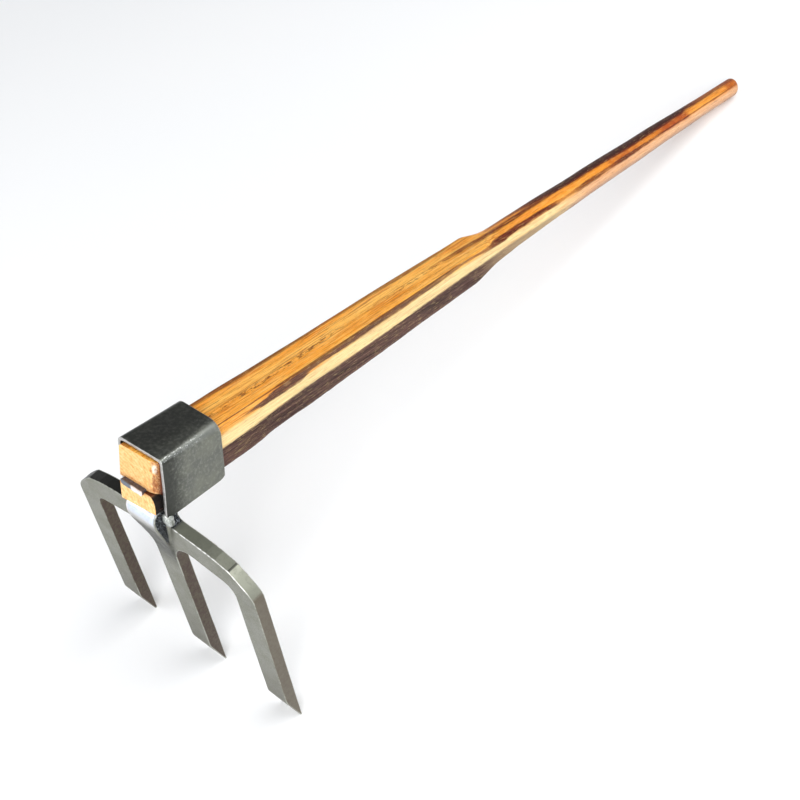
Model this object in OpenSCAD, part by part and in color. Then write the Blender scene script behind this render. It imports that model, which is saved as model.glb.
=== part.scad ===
/*
  Three-tine hand cultivator (long-handled claw hoe).

  A flat steel fork is cut from thick plate. Its neck is forged forward and
  folded back under the handle as a tongue. A bent steel strap stands on the
  tongue and makes a square socket with it, and two weld beads join them.
  The wooden handle is square at the head and turned round from the shoulder
  to the butt. A steel wedge in a saw kerf spreads the handle's end.

  The tool is drawn in its resting attitude: the two outer tine tips and the
  butt of the handle stand on z = 0. X is across the fork, +Y runs from the
  head towards the butt, +Z is up. The origin is at the centre of the
  footprint's bounding box, on the ground.

  Helper modules work in the head frame: y along the handle's axis, from the
  front edge of the socket towards the butt, z square to it, x across.
*/

/* [Socket strap] */
// Outside width of the strap
collar_w = 48; // [46:0.5:50]
// Outside height of the strap, from its lower edges to its top
collar_h = 55.5; // [54:0.5:58]
// Length of the strap along the handle
collar_len = 58; // [50:1:66]
// Thickness of the strap's steel
collar_t = 3; // [2:0.25:3.5]
// Outside radius of the right-hand bend at the front edge
collar_r_front = 4; // [3.5:0.5:6]
// Outside radius of the right-hand bend at the rear edge
collar_r_rear = 12; // [6:0.5:13]
// Outside radius of the left-hand bend at the front edge; it opens out a little behind
collar_r_left = 6; // [4:0.5:7]
// How far the strap sits to the left of the handle's axis
collar_shift = 1; // [0:0.25:1.5]
// Height of the strap's top above the handle's axis
collar_top = 19.5; // [18:0.5:21]

/* [Fork] */
// Thickness of the fork plate
plate_t = 11; // [8:0.5:12]
// Backward lean of the fork plate, from square to the handle
plate_lean = 10.2; // [6:0.2:14]
// Distance between the outer faces of the outer tines
fork_w = 202; // [180:2:220]
// Width of each outer tine
tine_w = 22; // [18:0.5:24]
// Width of the middle tine at its root
mid_root_w = 24; // [22:0.5:26]
// Width of the middle tine at its tip
mid_tip_w = 22; // [18:0.5:22]
// Length of the outer tines, from the top of the plate to the tip
tine_len = 205; // [180:1:220]
// How much shorter the middle tine is
mid_short = 2; // [0:0.5:6]
// How much has been worn off the left tine's tip
left_short = 3; // [1:0.5:6]
// Length of the sharpened bevel on the front of each tip
bevel_len = 31; // [20:1:40]
// Thickness left at the sharpened edge
tip_t = 1.2; // [0.8:0.1:2.5]
// Depth of the arms where they leave the neck
arm_depth = 20; // [16:0.5:24]
// Fillet between the arms and the outer tines
crotch_r_out = 12; // [6:0.5:16]
// Fillet between the arms and the middle tine
crotch_r_mid = 22; // [10:0.5:24]

/* [Neck and tongue] */
// Width of the neck's lip and of the tongue under the handle
tongue_w = 36.6; // [34:0.2:38]
// Thickness of the tongue under the handle
tongue_t = 5.5; // [4:0.25:7]
// Length of the tongue behind the front edge of the strap
tongue_len = 54; // [40:1:56]
// How far the lip stands in front of the strap
lip_out = 9.8; // [6:0.2:12]

/* [Handle] */
// Distance from the front edge of the strap to the end of the butt
handle_len = 866; // [760:1:960]
// Width of the square part at the socket
head_w = 35; // [32:0.5:37]
// Width of the square part at the shoulder
shoulder_w = 30; // [28:0.5:32]
// Height of the square part's top face above the axis
head_top = 13.2; // [12:0.2:14]
// Depth of the square part below the axis, at the socket
head_drop = 30.4; // [29:0.1:30.5]
// Depth of the square part below the axis, at the shoulder
shoulder_drop = 21.2; // [19:0.2:23]
// Distance of the shoulder from the front edge of the strap
shoulder_y = 372; // [340:1:400]
// Radius of the round part just behind the shoulder
grip_r_front = 15.2; // [14:0.1:16]
// Radius of the round part halfway along
grip_r_mid = 12; // [11:0.1:14]
// Radius of the straight stretch at the butt
grip_r_butt = 10.3; // [10:0.1:13]
// Length of the straight stretch at the butt
butt_straight = 110; // [60:1:160]
// Rounding of the butt's edge
butt_round = 4; // [2:0.5:6]

/* [Wedge] */
// Width of the steel wedge across the handle
wedge_w = 23; // [16:1:26]
// Thickness of the wedge at its outer end
wedge_t = 3.6; // [2.5:0.1:5]
// Length of the wedge
wedge_len = 40; // [25:1:50]
// How far the wedge stands out of the wood
wedge_out = 4; // [1:0.5:6]
// Width of the saw kerf
kerf_t = 1.2; // [0.8:0.1:2]
// Depth of the saw kerf from the socket's front edge
kerf_len = 48; // [40:1:60]

/* [Hidden] */

// colours
c_wood  = [0.80, 0.50, 0.20];
c_fork  = [0.50, 0.50, 0.47];
c_strap = [0.36, 0.37, 0.36];
c_weld  = [0.62, 0.63, 0.62];
c_wedge = [0.42, 0.41, 0.42];

// the fork plate's own frame: origin on its front face, at the top of the neck
fork_y = 1.3;                        // front face at the top, along the handle
fork_z = collar_top - 64.7;          // and below the handle's axis
inner_x = fork_w / 2 - tine_w;       // inner face of the outer tines
strap_floor = collar_top - collar_h; // lower edges of the strap
tongue_top = strap_floor + tongue_t; // the surface the wood stands on

// resting attitude: tilt the head frame until tips and butt are level
tip_y = fork_y + tine_len * sin(plate_lean) + plate_t * cos(plate_lean);
tip_z = fork_z - tine_len * cos(plate_lean) + plate_t * sin(plate_lean);
butt_cy = handle_len - butt_round;   // centre of the butt's rounding, underneath
butt_cz = -(grip_r_butt - butt_round);
span = norm([butt_cy - tip_y, butt_cz - tip_z]);
tilt = atan2(butt_cz - tip_z, butt_cy - tip_y) - asin(butt_round / span);

// ground height and the middle of the footprint, in the tilted head frame
ground = -tip_y * sin(tilt) + tip_z * cos(tilt);
bevel_s = tine_len - bevel_len;
front_y = (fork_y + bevel_s * sin(plate_lean)) * cos(tilt)
        + (fork_z - bevel_s * cos(plate_lean)) * sin(tilt);
rear_y = butt_cy * cos(tilt) + (grip_r_butt - butt_round) * sin(tilt) + butt_round;
mid_y = (front_y + rear_y) / 2;

// head frame to the resting attitude
module at_rest() {
    translate([0, -mid_y, -ground]) rotate([-tilt, 0, 0]) children();
}

// fork plate frame to the head frame: 2D x, y become x across and y up the plate
module on_plate(t) {
    translate([0, fork_y, fork_z]) rotate([90 + plate_lean, 0, 0])
        translate([0, 0, -t]) linear_extrude(height = t) children();
}

// side profile, given as [y, z] in the head frame, extruded across x
module across(w) {
    rotate([90, 0, 90]) translate([0, 0, -w / 2]) linear_extrude(height = w) children();
}

// ---------------------------------------------------------------- handle

// plan outline of the square part, [x, y]
module head_plan() {
    polygon([[-21.2, -14], [20, -14], [19.6, 0], [head_w / 2 + 0.6, collar_len - 8],
             [head_w / 2, 80], [shoulder_w / 2, shoulder_y], [shoulder_w / 2 + 1, shoulder_y + 70],
             [-shoulder_w / 2 - 1, shoulder_y + 70], [-shoulder_w / 2, shoulder_y], [-head_w / 2, 80],
             [-head_w / 2 - 1, collar_len - 8], [-20.8, 0]]);
}

// side outline of the square part, [y, z]
module head_side() {
    polygon([[-9.6, collar_top - collar_t - 0.7], [4, collar_top - collar_t - 0.5], [collar_len - 6, head_top + 0.5], [86, head_top],
             [shoulder_y, head_top + 0.6], [shoulder_y + 70, head_top + 2],
             [shoulder_y + 70, -shoulder_drop + 2], [shoulder_y, -shoulder_drop],
             [160, -(head_drop * 0.6 + shoulder_drop * 0.4)], [83, tongue_top + 0.6], [collar_len - 3, tongue_top], [-9.4, tongue_top]]);
}

// outline seen along a diagonal, [y, (x + z) / sqrt 2]: it breaks the four long edges
module edge_view() {
    q = sqrt(2);
    polygon([[-20, 34.6 / q], [8, 34.3 / q], [collar_len - 16, 30.2 / q], [92, 28.1 / q],
             [shoulder_y + 5, (shoulder_w / 2 + head_top - 2) / q], [shoulder_y + 75, (shoulder_w / 2 + head_top) / q],
             [shoulder_y + 75, -(shoulder_w / 2 + shoulder_drop - 3) / q], [shoulder_y - 7, -(shoulder_w / 2 + shoulder_drop - 2.6) / q],
             [96, -(head_w / 2 - tongue_top - 3.2) / q], [collar_len - 20, -(head_w / 2 - tongue_top - 0.6) / q],
             [6, -(19.4 - tongue_top - 1.2) / q], [-20, -(19.4 - tongue_top - 1.2) / q]]);
}

// lengthwise profile of the turned part, [r, y]
module turned_profile() {
    y1 = shoulder_y + 8; y2 = shoulder_y + 46;
    ym = (y2 + handle_len) / 2;
    yb = handle_len - butt_straight;
    polygon([[0, -20], [60, -20], [60, y1 - 1], [24.5, y1], [grip_r_front + 0.6, y2], [grip_r_front, y2 + 14],
             [(grip_r_front + grip_r_mid) / 2, y2 + (ym - y2) * 0.42], [grip_r_mid, ym],
             [grip_r_butt, yb], [grip_r_butt, handle_len - butt_round],
             [grip_r_butt - butt_round, handle_len - butt_round], [grip_r_butt - butt_round, handle_len], [0, handle_len]]);
    translate([grip_r_butt - butt_round, handle_len - butt_round]) circle(r = butt_round, $fn = 64);
}

module handle() {
    color(c_wood) at_rest() difference() {
        intersection() {
            // the turned solid, wide enough in front to leave the square part alone
            rotate([-90, 0, 0]) rotate_extrude($fn = 96) turned_profile();
            union() {
                intersection() {
                    across(60) head_side();
                    translate([0, 0, -60]) linear_extrude(height = 120) head_plan();
                    rotate([0, 45, 0]) across(160) edge_view();
                    rotate([0, -45, 0]) across(160) edge_view();
                }
                translate([-40, shoulder_y + 69, -40]) cube([80, handle_len, 80]);
            }
        }
        // saw kerf across the end, opened by the wedge
        wedge_slot();
        end_cuts();
    }
}

// The end above the kerf is sawn askew and stands further back than the end
// below it, which is pared narrower to clear the strap's walls.
module end_cuts() {
    translate([0, 0, kerf_z]) linear_extrude(height = 60)
        polygon([[-40, -40], [40, -40], [40, 1], [-40, -8]]);
    translate([0, 0, -60]) linear_extrude(height = 60 + kerf_z) {
        polygon([[-40, -40], [-16.6, -40], [-16.6, -3], [-21.5, 4], [-40, 4]]);
        polygon([[40, -40], [18, -40], [18, -3.5], [20.5, 3], [40, 3]]);
    }
}

// kerf and the taper that the wedge has forced open, level with kerf_z
kerf_z = -13.5;
wedge_x = -4;
module wedge_slot() {
    across(60) polygon([[-30, kerf_z + kerf_t / 2], [-30, kerf_z - kerf_t / 2],
                        [kerf_len, kerf_z - kerf_t / 2], [kerf_len, kerf_z + kerf_t / 2]]);
    wedge_body(0);
}

// ----------------------------------------------------------------- wedge

// the wood's end in front of the socket, where the wedge enters
end_y = -6.3;
module wedge_body(extra) {
    y0 = end_y - wedge_out; y1 = y0 + wedge_len;
    translate([wedge_x, 0, 0]) across(wedge_w + extra)
        polygon([[y0, kerf_z - wedge_t / 2], [y0, kerf_z + wedge_t / 2],
                 [y1, kerf_z + 0.4], [y1, kerf_z - 0.4]]);
}

module head_wedge() {
    color(c_wedge) at_rest() wedge_body(0);
}

// ------------------------------------------------------------------ fork

// right half of the plate's outline, [x, y] with y up
module half_outline() {
    polygon([[-1, 14], [tongue_w / 2, 14], [tongue_w / 2, -1.5], [tongue_w / 2 + 2, -3.2], [46, -5.2], [66, -8.3], [79.5, -12.2],
             [fork_w / 2 - 5, -27], [fork_w / 2 - 1.5, -31.5], [fork_w / 2, -37], [fork_w / 2, -tine_len],
             [inner_x, -tine_len], [inner_x, -60], [-1, -60]]);
    polygon([[-1, -50], [mid_root_w / 2, -50], [mid_tip_w / 2, -(tine_len - mid_short)], [-1, -(tine_len - mid_short)]]);
}

// right gap between the middle and outer tine: straight sides and true fillets
module half_gap() {
    x0 = mid_root_w / 2; x1 = inner_x;
    // underside of the arm, falling outwards
    a = atan2(4.5, 30);
    top0 = -arm_depth - 3.6;                          // height where it would meet the middle tine
    r0 = crotch_r_mid; r1 = crotch_r_out;
    // centre of each fillet: one radius from the tine and from the underside
    c0 = [x0 + r0, top0 - tan(a) * r0 - r0 / cos(a)];
    c1 = [x1 - r1, top0 - tan(a) * (x1 - r1 - x0) - r1 / cos(a)];
    // the straight underside crosses both fillets a hair below their tops
    u = 0.05;
    polygon([[x0, -300], [x0, c0[1]], [c0[0], c0[1]], c0 + (r0 - u) * [sin(a), cos(a)], c1 + (r1 - u) * [sin(a), cos(a)],
             [c1[0], c1[1]], [x1, c1[1]], [x1, -300]]);
    translate(c0) circle(r = r0, $fn = 96);
    translate(c1) circle(r = r1, $fn = 64);
}

module fork_outline() {
    for (m = [0, 1]) mirror([m, 0]) {
        difference() {
            half_outline();
            intersection() { half_gap(); translate([mid_root_w / 2 - 0.01, -60]) square([100, 60]); }
        }
    }
}

// sharpened tips: the front face is cut back to a thin edge at the rear face
module tip_cut(len) {
    s0 = len - bevel_len;
    translate([0, fork_y, fork_z]) rotate([plate_lean, 0, 0]) across(60)
        polygon([[-5, -s0], [0, -s0], [plate_t - tip_t, -len], [plate_t - tip_t, -len - 20], [-5, -len - 20]]);
}

// neck: forged forward from the plate, rounded over the lip, then back as the tongue
module neck_profile() {
    lt = tongue_top;
    polygon([[tongue_len, lt], [1, lt], [-4, lt - 0.5], [-7.6, lt - 2.4], [-lip_out + 0.4, lt - 5.6], [-lip_out, lt - 9.6],
             [-lip_out + 1.3, lt - 15.6], [-5.2, lt - 24], [-0.4, lt - 34.5], [4.6, lt - 46], [9, lt - 58], [16, lt - 56],
             [fork_y + plate_t * cos(plate_lean) - 0.3, fork_z - 3], [fork_y + plate_t * cos(plate_lean) + 0.5, strap_floor - 4],
             [fork_y + plate_t * cos(plate_lean) + 2, strap_floor - 1.2], [fork_y + plate_t * cos(plate_lean) + 5, strap_floor], [tongue_len, strap_floor]]);
}

module neck() {
    intersection() {
        across(tongue_w) neck_profile();
        // front view of the neck, narrowing down to the middle tine
        translate([0, 100, 0]) rotate([90, 0, 0]) linear_extrude(height = 200)
            polygon([[-tongue_w / 2, 0], [tongue_w / 2, 0], [tongue_w / 2, tongue_top - 16], [tongue_w / 2 - 2.5, tongue_top - 26],
                     [12.5, tongue_top - 43], [8, tongue_top - 60], [-8, tongue_top - 60], [-12.5, tongue_top - 43],
                     [-tongue_w / 2 + 2.5, tongue_top - 26], [-tongue_w / 2, tongue_top - 16]]);
    }
}

module tine_fork() {
    color(c_fork) at_rest() {
        difference() {
            on_plate(plate_t) difference() {
                fork_outline();
                translate([-60, -1.5]) square([120, 30]);
                translate([-fork_w / 2 - 1, -tine_len - 1]) square([tine_w + 2, left_short + 1]);
            }
            for (x = [-(fork_w - tine_w) / 2, (fork_w - tine_w) / 2]) translate([x, 0, 0]) tip_cut(tine_len);
            tip_cut(tine_len - mid_short);
        }
        neck();
    }
}

// ---------------------------------------------------------- socket strap

// rounded rectangle w by h below the origin: radius rl on the left, rr on the right
function bend(x, z, r, a0) = [for (i = [0 : 12]) [x + r * cos(a0 + i * 7.5), z + r * sin(a0 + i * 7.5)]];
module strap_section(w, h, rl, rr) {
    polygon(concat(bend(w / 2 - rr, -rr, rr, 0), bend(rl - w / 2, -rl, rl, 90),
                   bend(rl - w / 2, rl - h, rl, 180), bend(w / 2 - rr, rr - h, rr, 270)));
}
module strap_slab(y, w, h, rl, rr) {
    translate([-collar_shift, y, collar_top - (collar_w - w) / 2]) rotate([90, 0, 0])
        translate([0, 0, -0.05]) linear_extrude(height = 0.1) strap_section(w, h, rl, rr);
}
module socket_strap() {
    w2 = collar_w - 2 * collar_t;
    color(c_strap) at_rest() intersection() {
        difference() {
            hull() {
                strap_slab(-3, collar_w, 90, collar_r_left, collar_r_front);
                strap_slab(collar_len + 2, collar_w, 90, collar_r_left + 2, collar_r_rear);
            }
            hull() {
                strap_slab(-4, w2, 100, collar_r_left - collar_t, max(collar_r_front - collar_t, 0.8));
                strap_slab(collar_len + 3, w2, 100, collar_r_left + 2 - collar_t, collar_r_rear - collar_t);
            }
        }
        // side view: the front edge leans forward a little towards the bottom
        across(100) polygon([[0.5, 60], [0.5, collar_top - 2], [-1.8, strap_floor], [collar_len - 3, strap_floor + 2.2],
                             [collar_len - 0.6, strap_floor + 4], [collar_len, strap_floor + 8], [collar_len, 60]]);
    }
}

// ----------------------------------------------------------------- welds

// bead between the strap's lower edge and the tongue's side, with a large
// start blob at the front corner
module weld_bead(side) {
    // the left wall stands further off, so its bead is a little fatter
    wide = side < 0 ? 0.8 : 0;
    x = side * (tongue_w / 2 + 1.5 + wide);
    color(c_weld) at_rest() {
        translate([x, 3, strap_floor + 1.2]) rotate([-87.6, 0, 0]) cylinder(r = 2.2 + wide / 2, h = 43, $fn = 32);
        for (i = [0 : 6]) translate([x, 4 + i * 6.6, strap_floor + 1.3 + i * 6.6 * 0.042]) sphere(r = 2.5 + wide / 2, $fn = 32);
        translate([side * (tongue_w / 2 + 3), 0.8, strap_floor - 2.2]) sphere(r = 4.4, $fn = 40);
        translate([side * (tongue_w / 2 + 2), 2.5, strap_floor - 7.2]) sphere(r = 3.6, $fn = 40);
    }
}
module weld_bead_left() { weld_bead(-1); }
module weld_bead_right() { weld_bead(1); }

handle();
tine_fork();
socket_strap();
weld_bead_left();
weld_bead_right();
head_wedge();
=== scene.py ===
import math

import bpy
import bmesh
import numpy as np
from mathutils import Matrix, Vector


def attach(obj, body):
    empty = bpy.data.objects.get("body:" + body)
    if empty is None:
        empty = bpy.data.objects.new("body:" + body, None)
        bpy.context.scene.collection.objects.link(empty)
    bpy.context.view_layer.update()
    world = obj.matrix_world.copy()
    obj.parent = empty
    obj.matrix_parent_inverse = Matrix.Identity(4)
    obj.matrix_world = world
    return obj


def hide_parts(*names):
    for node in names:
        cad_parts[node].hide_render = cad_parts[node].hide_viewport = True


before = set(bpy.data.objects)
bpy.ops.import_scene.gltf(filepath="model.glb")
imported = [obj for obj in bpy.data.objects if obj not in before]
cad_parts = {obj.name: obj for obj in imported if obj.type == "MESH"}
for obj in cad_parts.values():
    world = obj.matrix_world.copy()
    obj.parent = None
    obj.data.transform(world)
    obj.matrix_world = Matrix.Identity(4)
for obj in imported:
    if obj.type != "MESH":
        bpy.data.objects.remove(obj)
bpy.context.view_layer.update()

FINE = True

# ------------------------------------------------------------------ frame
# Lengths below are millimetres in the head frame: y runs along the handle from
# the strap's front edge towards the butt, z is square to it, x goes across.
TILT = math.radians(16.08205038)
MID_Y, GROUND = 402.4540473, -248.8392193
T = Matrix.Translation((0, -MID_Y / 1000, -GROUND / 1000)) @ Matrix.Rotation(-TILT, 4, "X")
LEAN = math.radians(10.2)
SL, CL = math.sin(LEAN), math.cos(LEAN)
FORK_Y, FORK_Z, PLATE = 1.3, -45.2, 11.0
STRAP_TOP, STRAP_FLOOR, TONGUE_TOP = 19.5, -36.0, -30.5


def to_plate(y, z):
    """Head frame to the plate's own frame: s runs down the plate, k through it from the front face."""
    dy, dz = y - FORK_Y, z - FORK_Z
    return dy * SL - dz * CL, dy * CL + dz * SL


def from_plate(s, k):
    return FORK_Y + s * SL + k * CL, FORK_Z - s * CL + k * SL


# ------------------------------------------------------------ small maths
def table(points):
    """A smooth monotone curve through (x, y) points."""
    px = np.array([p[0] for p in points], float)
    py = np.array([p[1] for p in points], float)
    h = np.diff(px)
    d = np.diff(py) / h
    m = np.zeros_like(py)
    m[0], m[-1] = d[0], d[-1]
    for i in range(1, len(px) - 1):
        if d[i - 1] * d[i] > 0:
            w1, w2 = 2 * h[i] + h[i - 1], h[i] + 2 * h[i - 1]
            m[i] = (w1 + w2) / (w1 / d[i - 1] + w2 / d[i])

    def f(x):
        x = np.clip(np.asarray(x, float), px[0], px[-1])
        i = np.clip(np.searchsorted(px, x, side="right") - 1, 0, len(px) - 2)
        t = (x - px[i]) / h[i]
        t2, t3 = t * t, t * t * t
        return ((2 * t3 - 3 * t2 + 1) * py[i] + (t3 - 2 * t2 + t) * h[i] * m[i]
                + (3 * t2 - 2 * t3) * py[i + 1] + (t3 - t2) * h[i] * m[i + 1])
    return f


def smin(a, b, k):
    h = np.clip(0.5 + 0.5 * (b - a) / k, 0, 1)
    return b + (a - b) * h - k * h * (1 - h)


def smax(a, b, k):
    return -smin(-a, -b, k)


def round_and(a, b, r):
    """Intersection of two solids with a true rounding of radius r along the edge."""
    return (np.minimum(np.maximum(a + r, b + r), 0) - r
            + np.sqrt(np.maximum(a + r, 0) ** 2 + np.maximum(b + r, 0) ** 2))


def polygon(points):
    """Signed distance to a closed polygon, as a function of two arrays."""
    P = np.asarray(points, float)
    Q = np.roll(P, -1, axis=0)

    def f(u, v):
        u, v = np.broadcast_arrays(np.asarray(u, float), np.asarray(v, float))
        best = np.full(u.shape, 1e18)
        inside = np.zeros(u.shape, bool)
        for (ax, ay), (bx, by) in zip(P, Q):
            ex, ey = bx - ax, by - ay
            L = ex * ex + ey * ey
            if L < 1e-12:
                continue
            wx, wy = u - ax, v - ay
            t = np.clip((wx * ex + wy * ey) / L, 0, 1)
            best = np.minimum(best, (wx - t * ex) ** 2 + (wy - t * ey) ** 2)
            cond = (ay > v) != (by > v)
            if abs(ey) > 1e-12:
                inside ^= cond & (u < ex * (v - ay) / ey + ax)
        return np.where(inside, -1, 1) * np.sqrt(best)
    return f


def arc(c, r, a0, a1, n=14):
    return [(c[0] + r * math.cos(a), c[1] + r * math.sin(a)) for a in np.linspace(a0, a1, n)]


def spline(points, n=6):
    """Catmull-Rom curve through points, open."""
    P = [np.array(p, float) for p in points]
    P = [2 * P[0] - P[1]] + P + [2 * P[-1] - P[-2]]
    out = []
    for i in range(1, len(P) - 2):
        a, b, c, d = P[i - 1:i + 3]
        for t in np.linspace(0, 1, n, endpoint=False):
            out.append(tuple(0.5 * (2 * b + (c - a) * t + (2 * a - 5 * b + 4 * c - d) * t * t
                                    + (3 * b - 3 * c + d - a) * t ** 3)))
    out.append(tuple(P[-2]))
    return out


class Waves:
    """Smooth seeded noise, a sum of plane waves, between about -1 and 1."""

    def __init__(self, seed, size, n=14, stretch=(1, 1, 1)):
        rng = np.random.RandomState(seed)
        d = rng.normal(size=(n, 3))
        d /= np.linalg.norm(d, axis=1)[:, None]
        self.k = d * (2 * math.pi / size * rng.uniform(0.6, 1.7, n))[:, None] / np.array(stretch, float)
        self.p = rng.uniform(0, 6.283, n)
        self.n = n

    def __call__(self, x, y, z):
        v = 0
        for k, p in zip(self.k, self.p):
            v = v + np.sin(x * k[0] + y * k[1] + z * k[2] + p)
        return v * (1.6 / self.n)


# --------------------------------------------------------- surface builder
def surface(f, axes, passes=5):
    """Closed quad mesh of the solid f < 0, on a grid of the three axes; each point is then moved onto the true surface."""
    X = [np.asarray(a, float) for a in axes]
    V = np.array(np.broadcast_to(f(X[0][:, None, None], X[1][None, :, None], X[2][None, None, :]),
                                 [len(a) for a in X]))
    V[np.abs(V) < 1e-7] = 1e-7
    S = V < 0
    n = S.shape
    cnt = np.zeros([m - 1 for m in n], np.int8)
    corners = [(i, j, k) for i in (0, 1) for j in (0, 1) for k in (0, 1)]
    for i, j, k in corners:
        cnt += S[i:n[0] - 1 + i, j:n[1] - 1 + j, k:n[2] - 1 + k]
    act = (cnt > 0) & (cnt < 8)
    ids = np.full(act.shape, -1, np.int64)
    ids[act] = np.arange(int(act.sum()))
    I, J, K = np.nonzero(act)
    acc, num = np.zeros((len(I), 3)), np.zeros(len(I))
    for a in corners:
        for ax in range(3):
            if a[ax]:
                continue
            b = list(a)
            b[ax] = 1
            va, vb = V[I + a[0], J + a[1], K + a[2]], V[I + b[0], J + b[1], K + b[2]]
            m = (va < 0) != (vb < 0)
            t = np.where(m, va / np.where(m, va - vb, 1), 0)
            pa = np.stack([X[0][I + a[0]], X[1][J + a[1]], X[2][K + a[2]]], 1)
            pb = np.stack([X[0][I + b[0]], X[1][J + b[1]], X[2][K + b[2]]], 1)
            acc[m] += (pa + (pb - pa) * t[:, None])[m]
            num[m] += 1
    P = acc / num[:, None]
    cell = np.stack([np.diff(X[0])[I], np.diff(X[1])[J], np.diff(X[2])[K]], 1).min(1)
    for _ in range(passes):
        g = gradient(f, P)
        v = f(P[:, 0], P[:, 1], P[:, 2])
        L = np.maximum((g ** 2).sum(1), 1e-3)
        step = -(v / L)[:, None] * g
        size = np.linalg.norm(step, axis=1)
        step *= np.minimum(1, 0.5 * cell / np.maximum(size, 1e-9))[:, None]
        P = P + step
    faces = []
    for ax in range(3):
        u, w = (ax + 1) % 3, (ax + 2) % 3
        lo = [slice(1, m - 1) for m in n]
        lo[ax] = slice(0, n[ax] - 1)
        hi = list(lo)
        hi[ax] = slice(1, n[ax])
        A, B = S[tuple(lo)], S[tuple(hi)]
        c = np.argwhere(A != B)
        out = A[tuple(c.T)]
        base = c.copy()
        for d in range(3):
            base[:, d] += 0 if d == ax else 1
        quad = []
        for du, dw in ((-1, -1), (0, -1), (0, 0), (-1, 0)):
            q = base.copy()
            q[:, u] += du
            q[:, w] += dw
            quad.append(ids[q[:, 0], q[:, 1], q[:, 2]])
        quad = np.stack(quad, 1)
        quad[~out] = quad[~out][:, ::-1]
        faces.append(quad)
    F = np.concatenate(faces)
    assert (F >= 0).all()
    return P, F


def gradient(f, P, h=0.04):
    g = np.zeros_like(P)
    for e in ((1, -1, -1), (-1, -1, 1), (-1, 1, -1), (1, 1, 1)):
        e = np.array(e, float)
        q = P + h * e
        g += e * f(q[:, 0], q[:, 1], q[:, 2])[:, None]
    return g / (4 * h)


def build(name, P, F, normals=None, attributes=None):
    """A mesh object from millimetre points in the head frame, placed in the row frame."""
    me = bpy.data.meshes.new(name)
    P = np.asarray(P, float)
    if isinstance(F, np.ndarray):
        k = F.shape[1]
        me.vertices.add(len(P))
        me.vertices.foreach_set("co", (P / 1000).astype(np.float32).ravel())
        me.loops.add(F.size)
        me.loops.foreach_set("vertex_index", F.astype(np.int32).ravel())
        me.polygons.add(len(F))
        me.polygons.foreach_set("loop_start", np.arange(0, F.size, k, dtype=np.int32))
        me.update(calc_edges=True)
    else:
        me.from_pydata([tuple(p) for p in P / 1000], [], F)
    me.validate()
    me.shade_smooth()
    if normals is not None:
        L = np.linalg.norm(normals, axis=1)
        me.normals_split_custom_set_from_vertices((normals / np.maximum(L, 1e-9)[:, None]).tolist())
    for key, values in (attributes or {}).items():
        a = me.attributes.new(key, "FLOAT", "POINT")
        a.data.foreach_set("value", np.asarray(values, np.float32))
    ob = bpy.data.objects.new(name, me)
    bpy.context.scene.collection.objects.link(ob)
    ob.matrix_world = T
    return ob


def edge_values(P, F, N, scale):
    """How convex the surface is at each point, 0 to 1: 1 on a sharp outer edge."""
    acc, cnt = np.zeros(len(P)), np.zeros(len(P))
    for a, b in ((0, 1), (1, 2), (2, 3), (3, 0)):
        i, j = F[:, a], F[:, b]
        d = P[i] - P[j]
        L = np.maximum((d ** 2).sum(1), 0.05)
        c = ((N[i] - N[j]) * d).sum(1) / L
        np.add.at(acc, i, c)
        np.add.at(acc, j, c)
        np.add.at(cnt, i, 1)
        np.add.at(cnt, j, 1)
    v = acc / np.maximum(cnt, 1)
    for _ in range(2):
        s, c = v.copy(), np.ones(len(P))
        for a, b in ((0, 1), (1, 2), (2, 3), (3, 0)):
            np.add.at(s, F[:, a], v[F[:, b]])
            np.add.at(c, F[:, a], 1)
        v = s / c
    return np.clip(v * scale, 0, 1)


def sdf_piece(name, f, axes, scale=1.6, place=None, extra=None):
    """Builds a piece from a distance function, with true normals and the edge attribute. place turns points into the head frame."""
    P, F = surface(f, axes)
    N = gradient(f, P)
    N /= np.maximum(np.linalg.norm(N, axis=1), 1e-9)[:, None]
    at = {"edge": edge_values(P, F, N, scale)}
    if extra is not None:
        at.update(extra(P, N))
    if place is not None:
        P, N = place(P), place(N, True)
    return build(name, P, F, N, at)


def near(lo, hi, step, *dense):
    """Grid lines from lo to hi: step apart, or finer inside the dense spans (start, end, step). No line falls on a round number."""
    out, x = [], lo
    while x < hi:
        out.append(x)
        s = step
        for a, b, c in dense:
            if a <= x < b:
                s = min(s, c)
        for a, b, c in dense:
            if x < a < x + s:
                s = a - x + 1e-6
        x += s
    out.append(hi)
    return np.array(out) + 0.0137


# ---------------------------------------------------------------- the fork
FORK_W, TINE_W, ROOT, TIP = 202.0, 22.0, 12.0, 11.0
TINE_LEN, MID_SHORT, LEFT_SHORT, BEVEL, TIP_T = 205.0, 2.0, 3.0, 31.0, 1.2


def fork_outline():
    """Right half of the plate, [x, s], as one closed outline."""
    inner = FORK_W / 2 - TINE_W
    a = math.atan2(4.5, 30)
    r0, r1 = 22.0, 12.0
    top0 = 20 + 3.6
    c0 = (ROOT + r0, top0 + math.tan(a) * r0 + r0 / math.cos(a))
    c1 = (inner - r1, top0 + math.tan(a) * (inner - r1 - ROOT) + r1 / math.cos(a))
    up = -math.pi / 2 + a
    shoulder = spline([(79.5, 12.2), (84.5, 16.2), (90, 21.2), (95.2, 26.2), (98.6, 30.4), (100.5, 34.8), (101, 40)], 5)
    pts = [(-30, 1.5), (18.3, 1.5), (21, 3.1), (32, 4.2), (46, 5.2), (57, 6.6), (66, 8.3)] + shoulder
    pts += [(101, 220), (inner, 220)]
    pts += arc(c1, r1, 0, up, 10)
    pts += arc(c0, r0, up, -math.pi, 18)
    pts += [(TIP, 220), (-30, 220)]
    return pts


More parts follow.
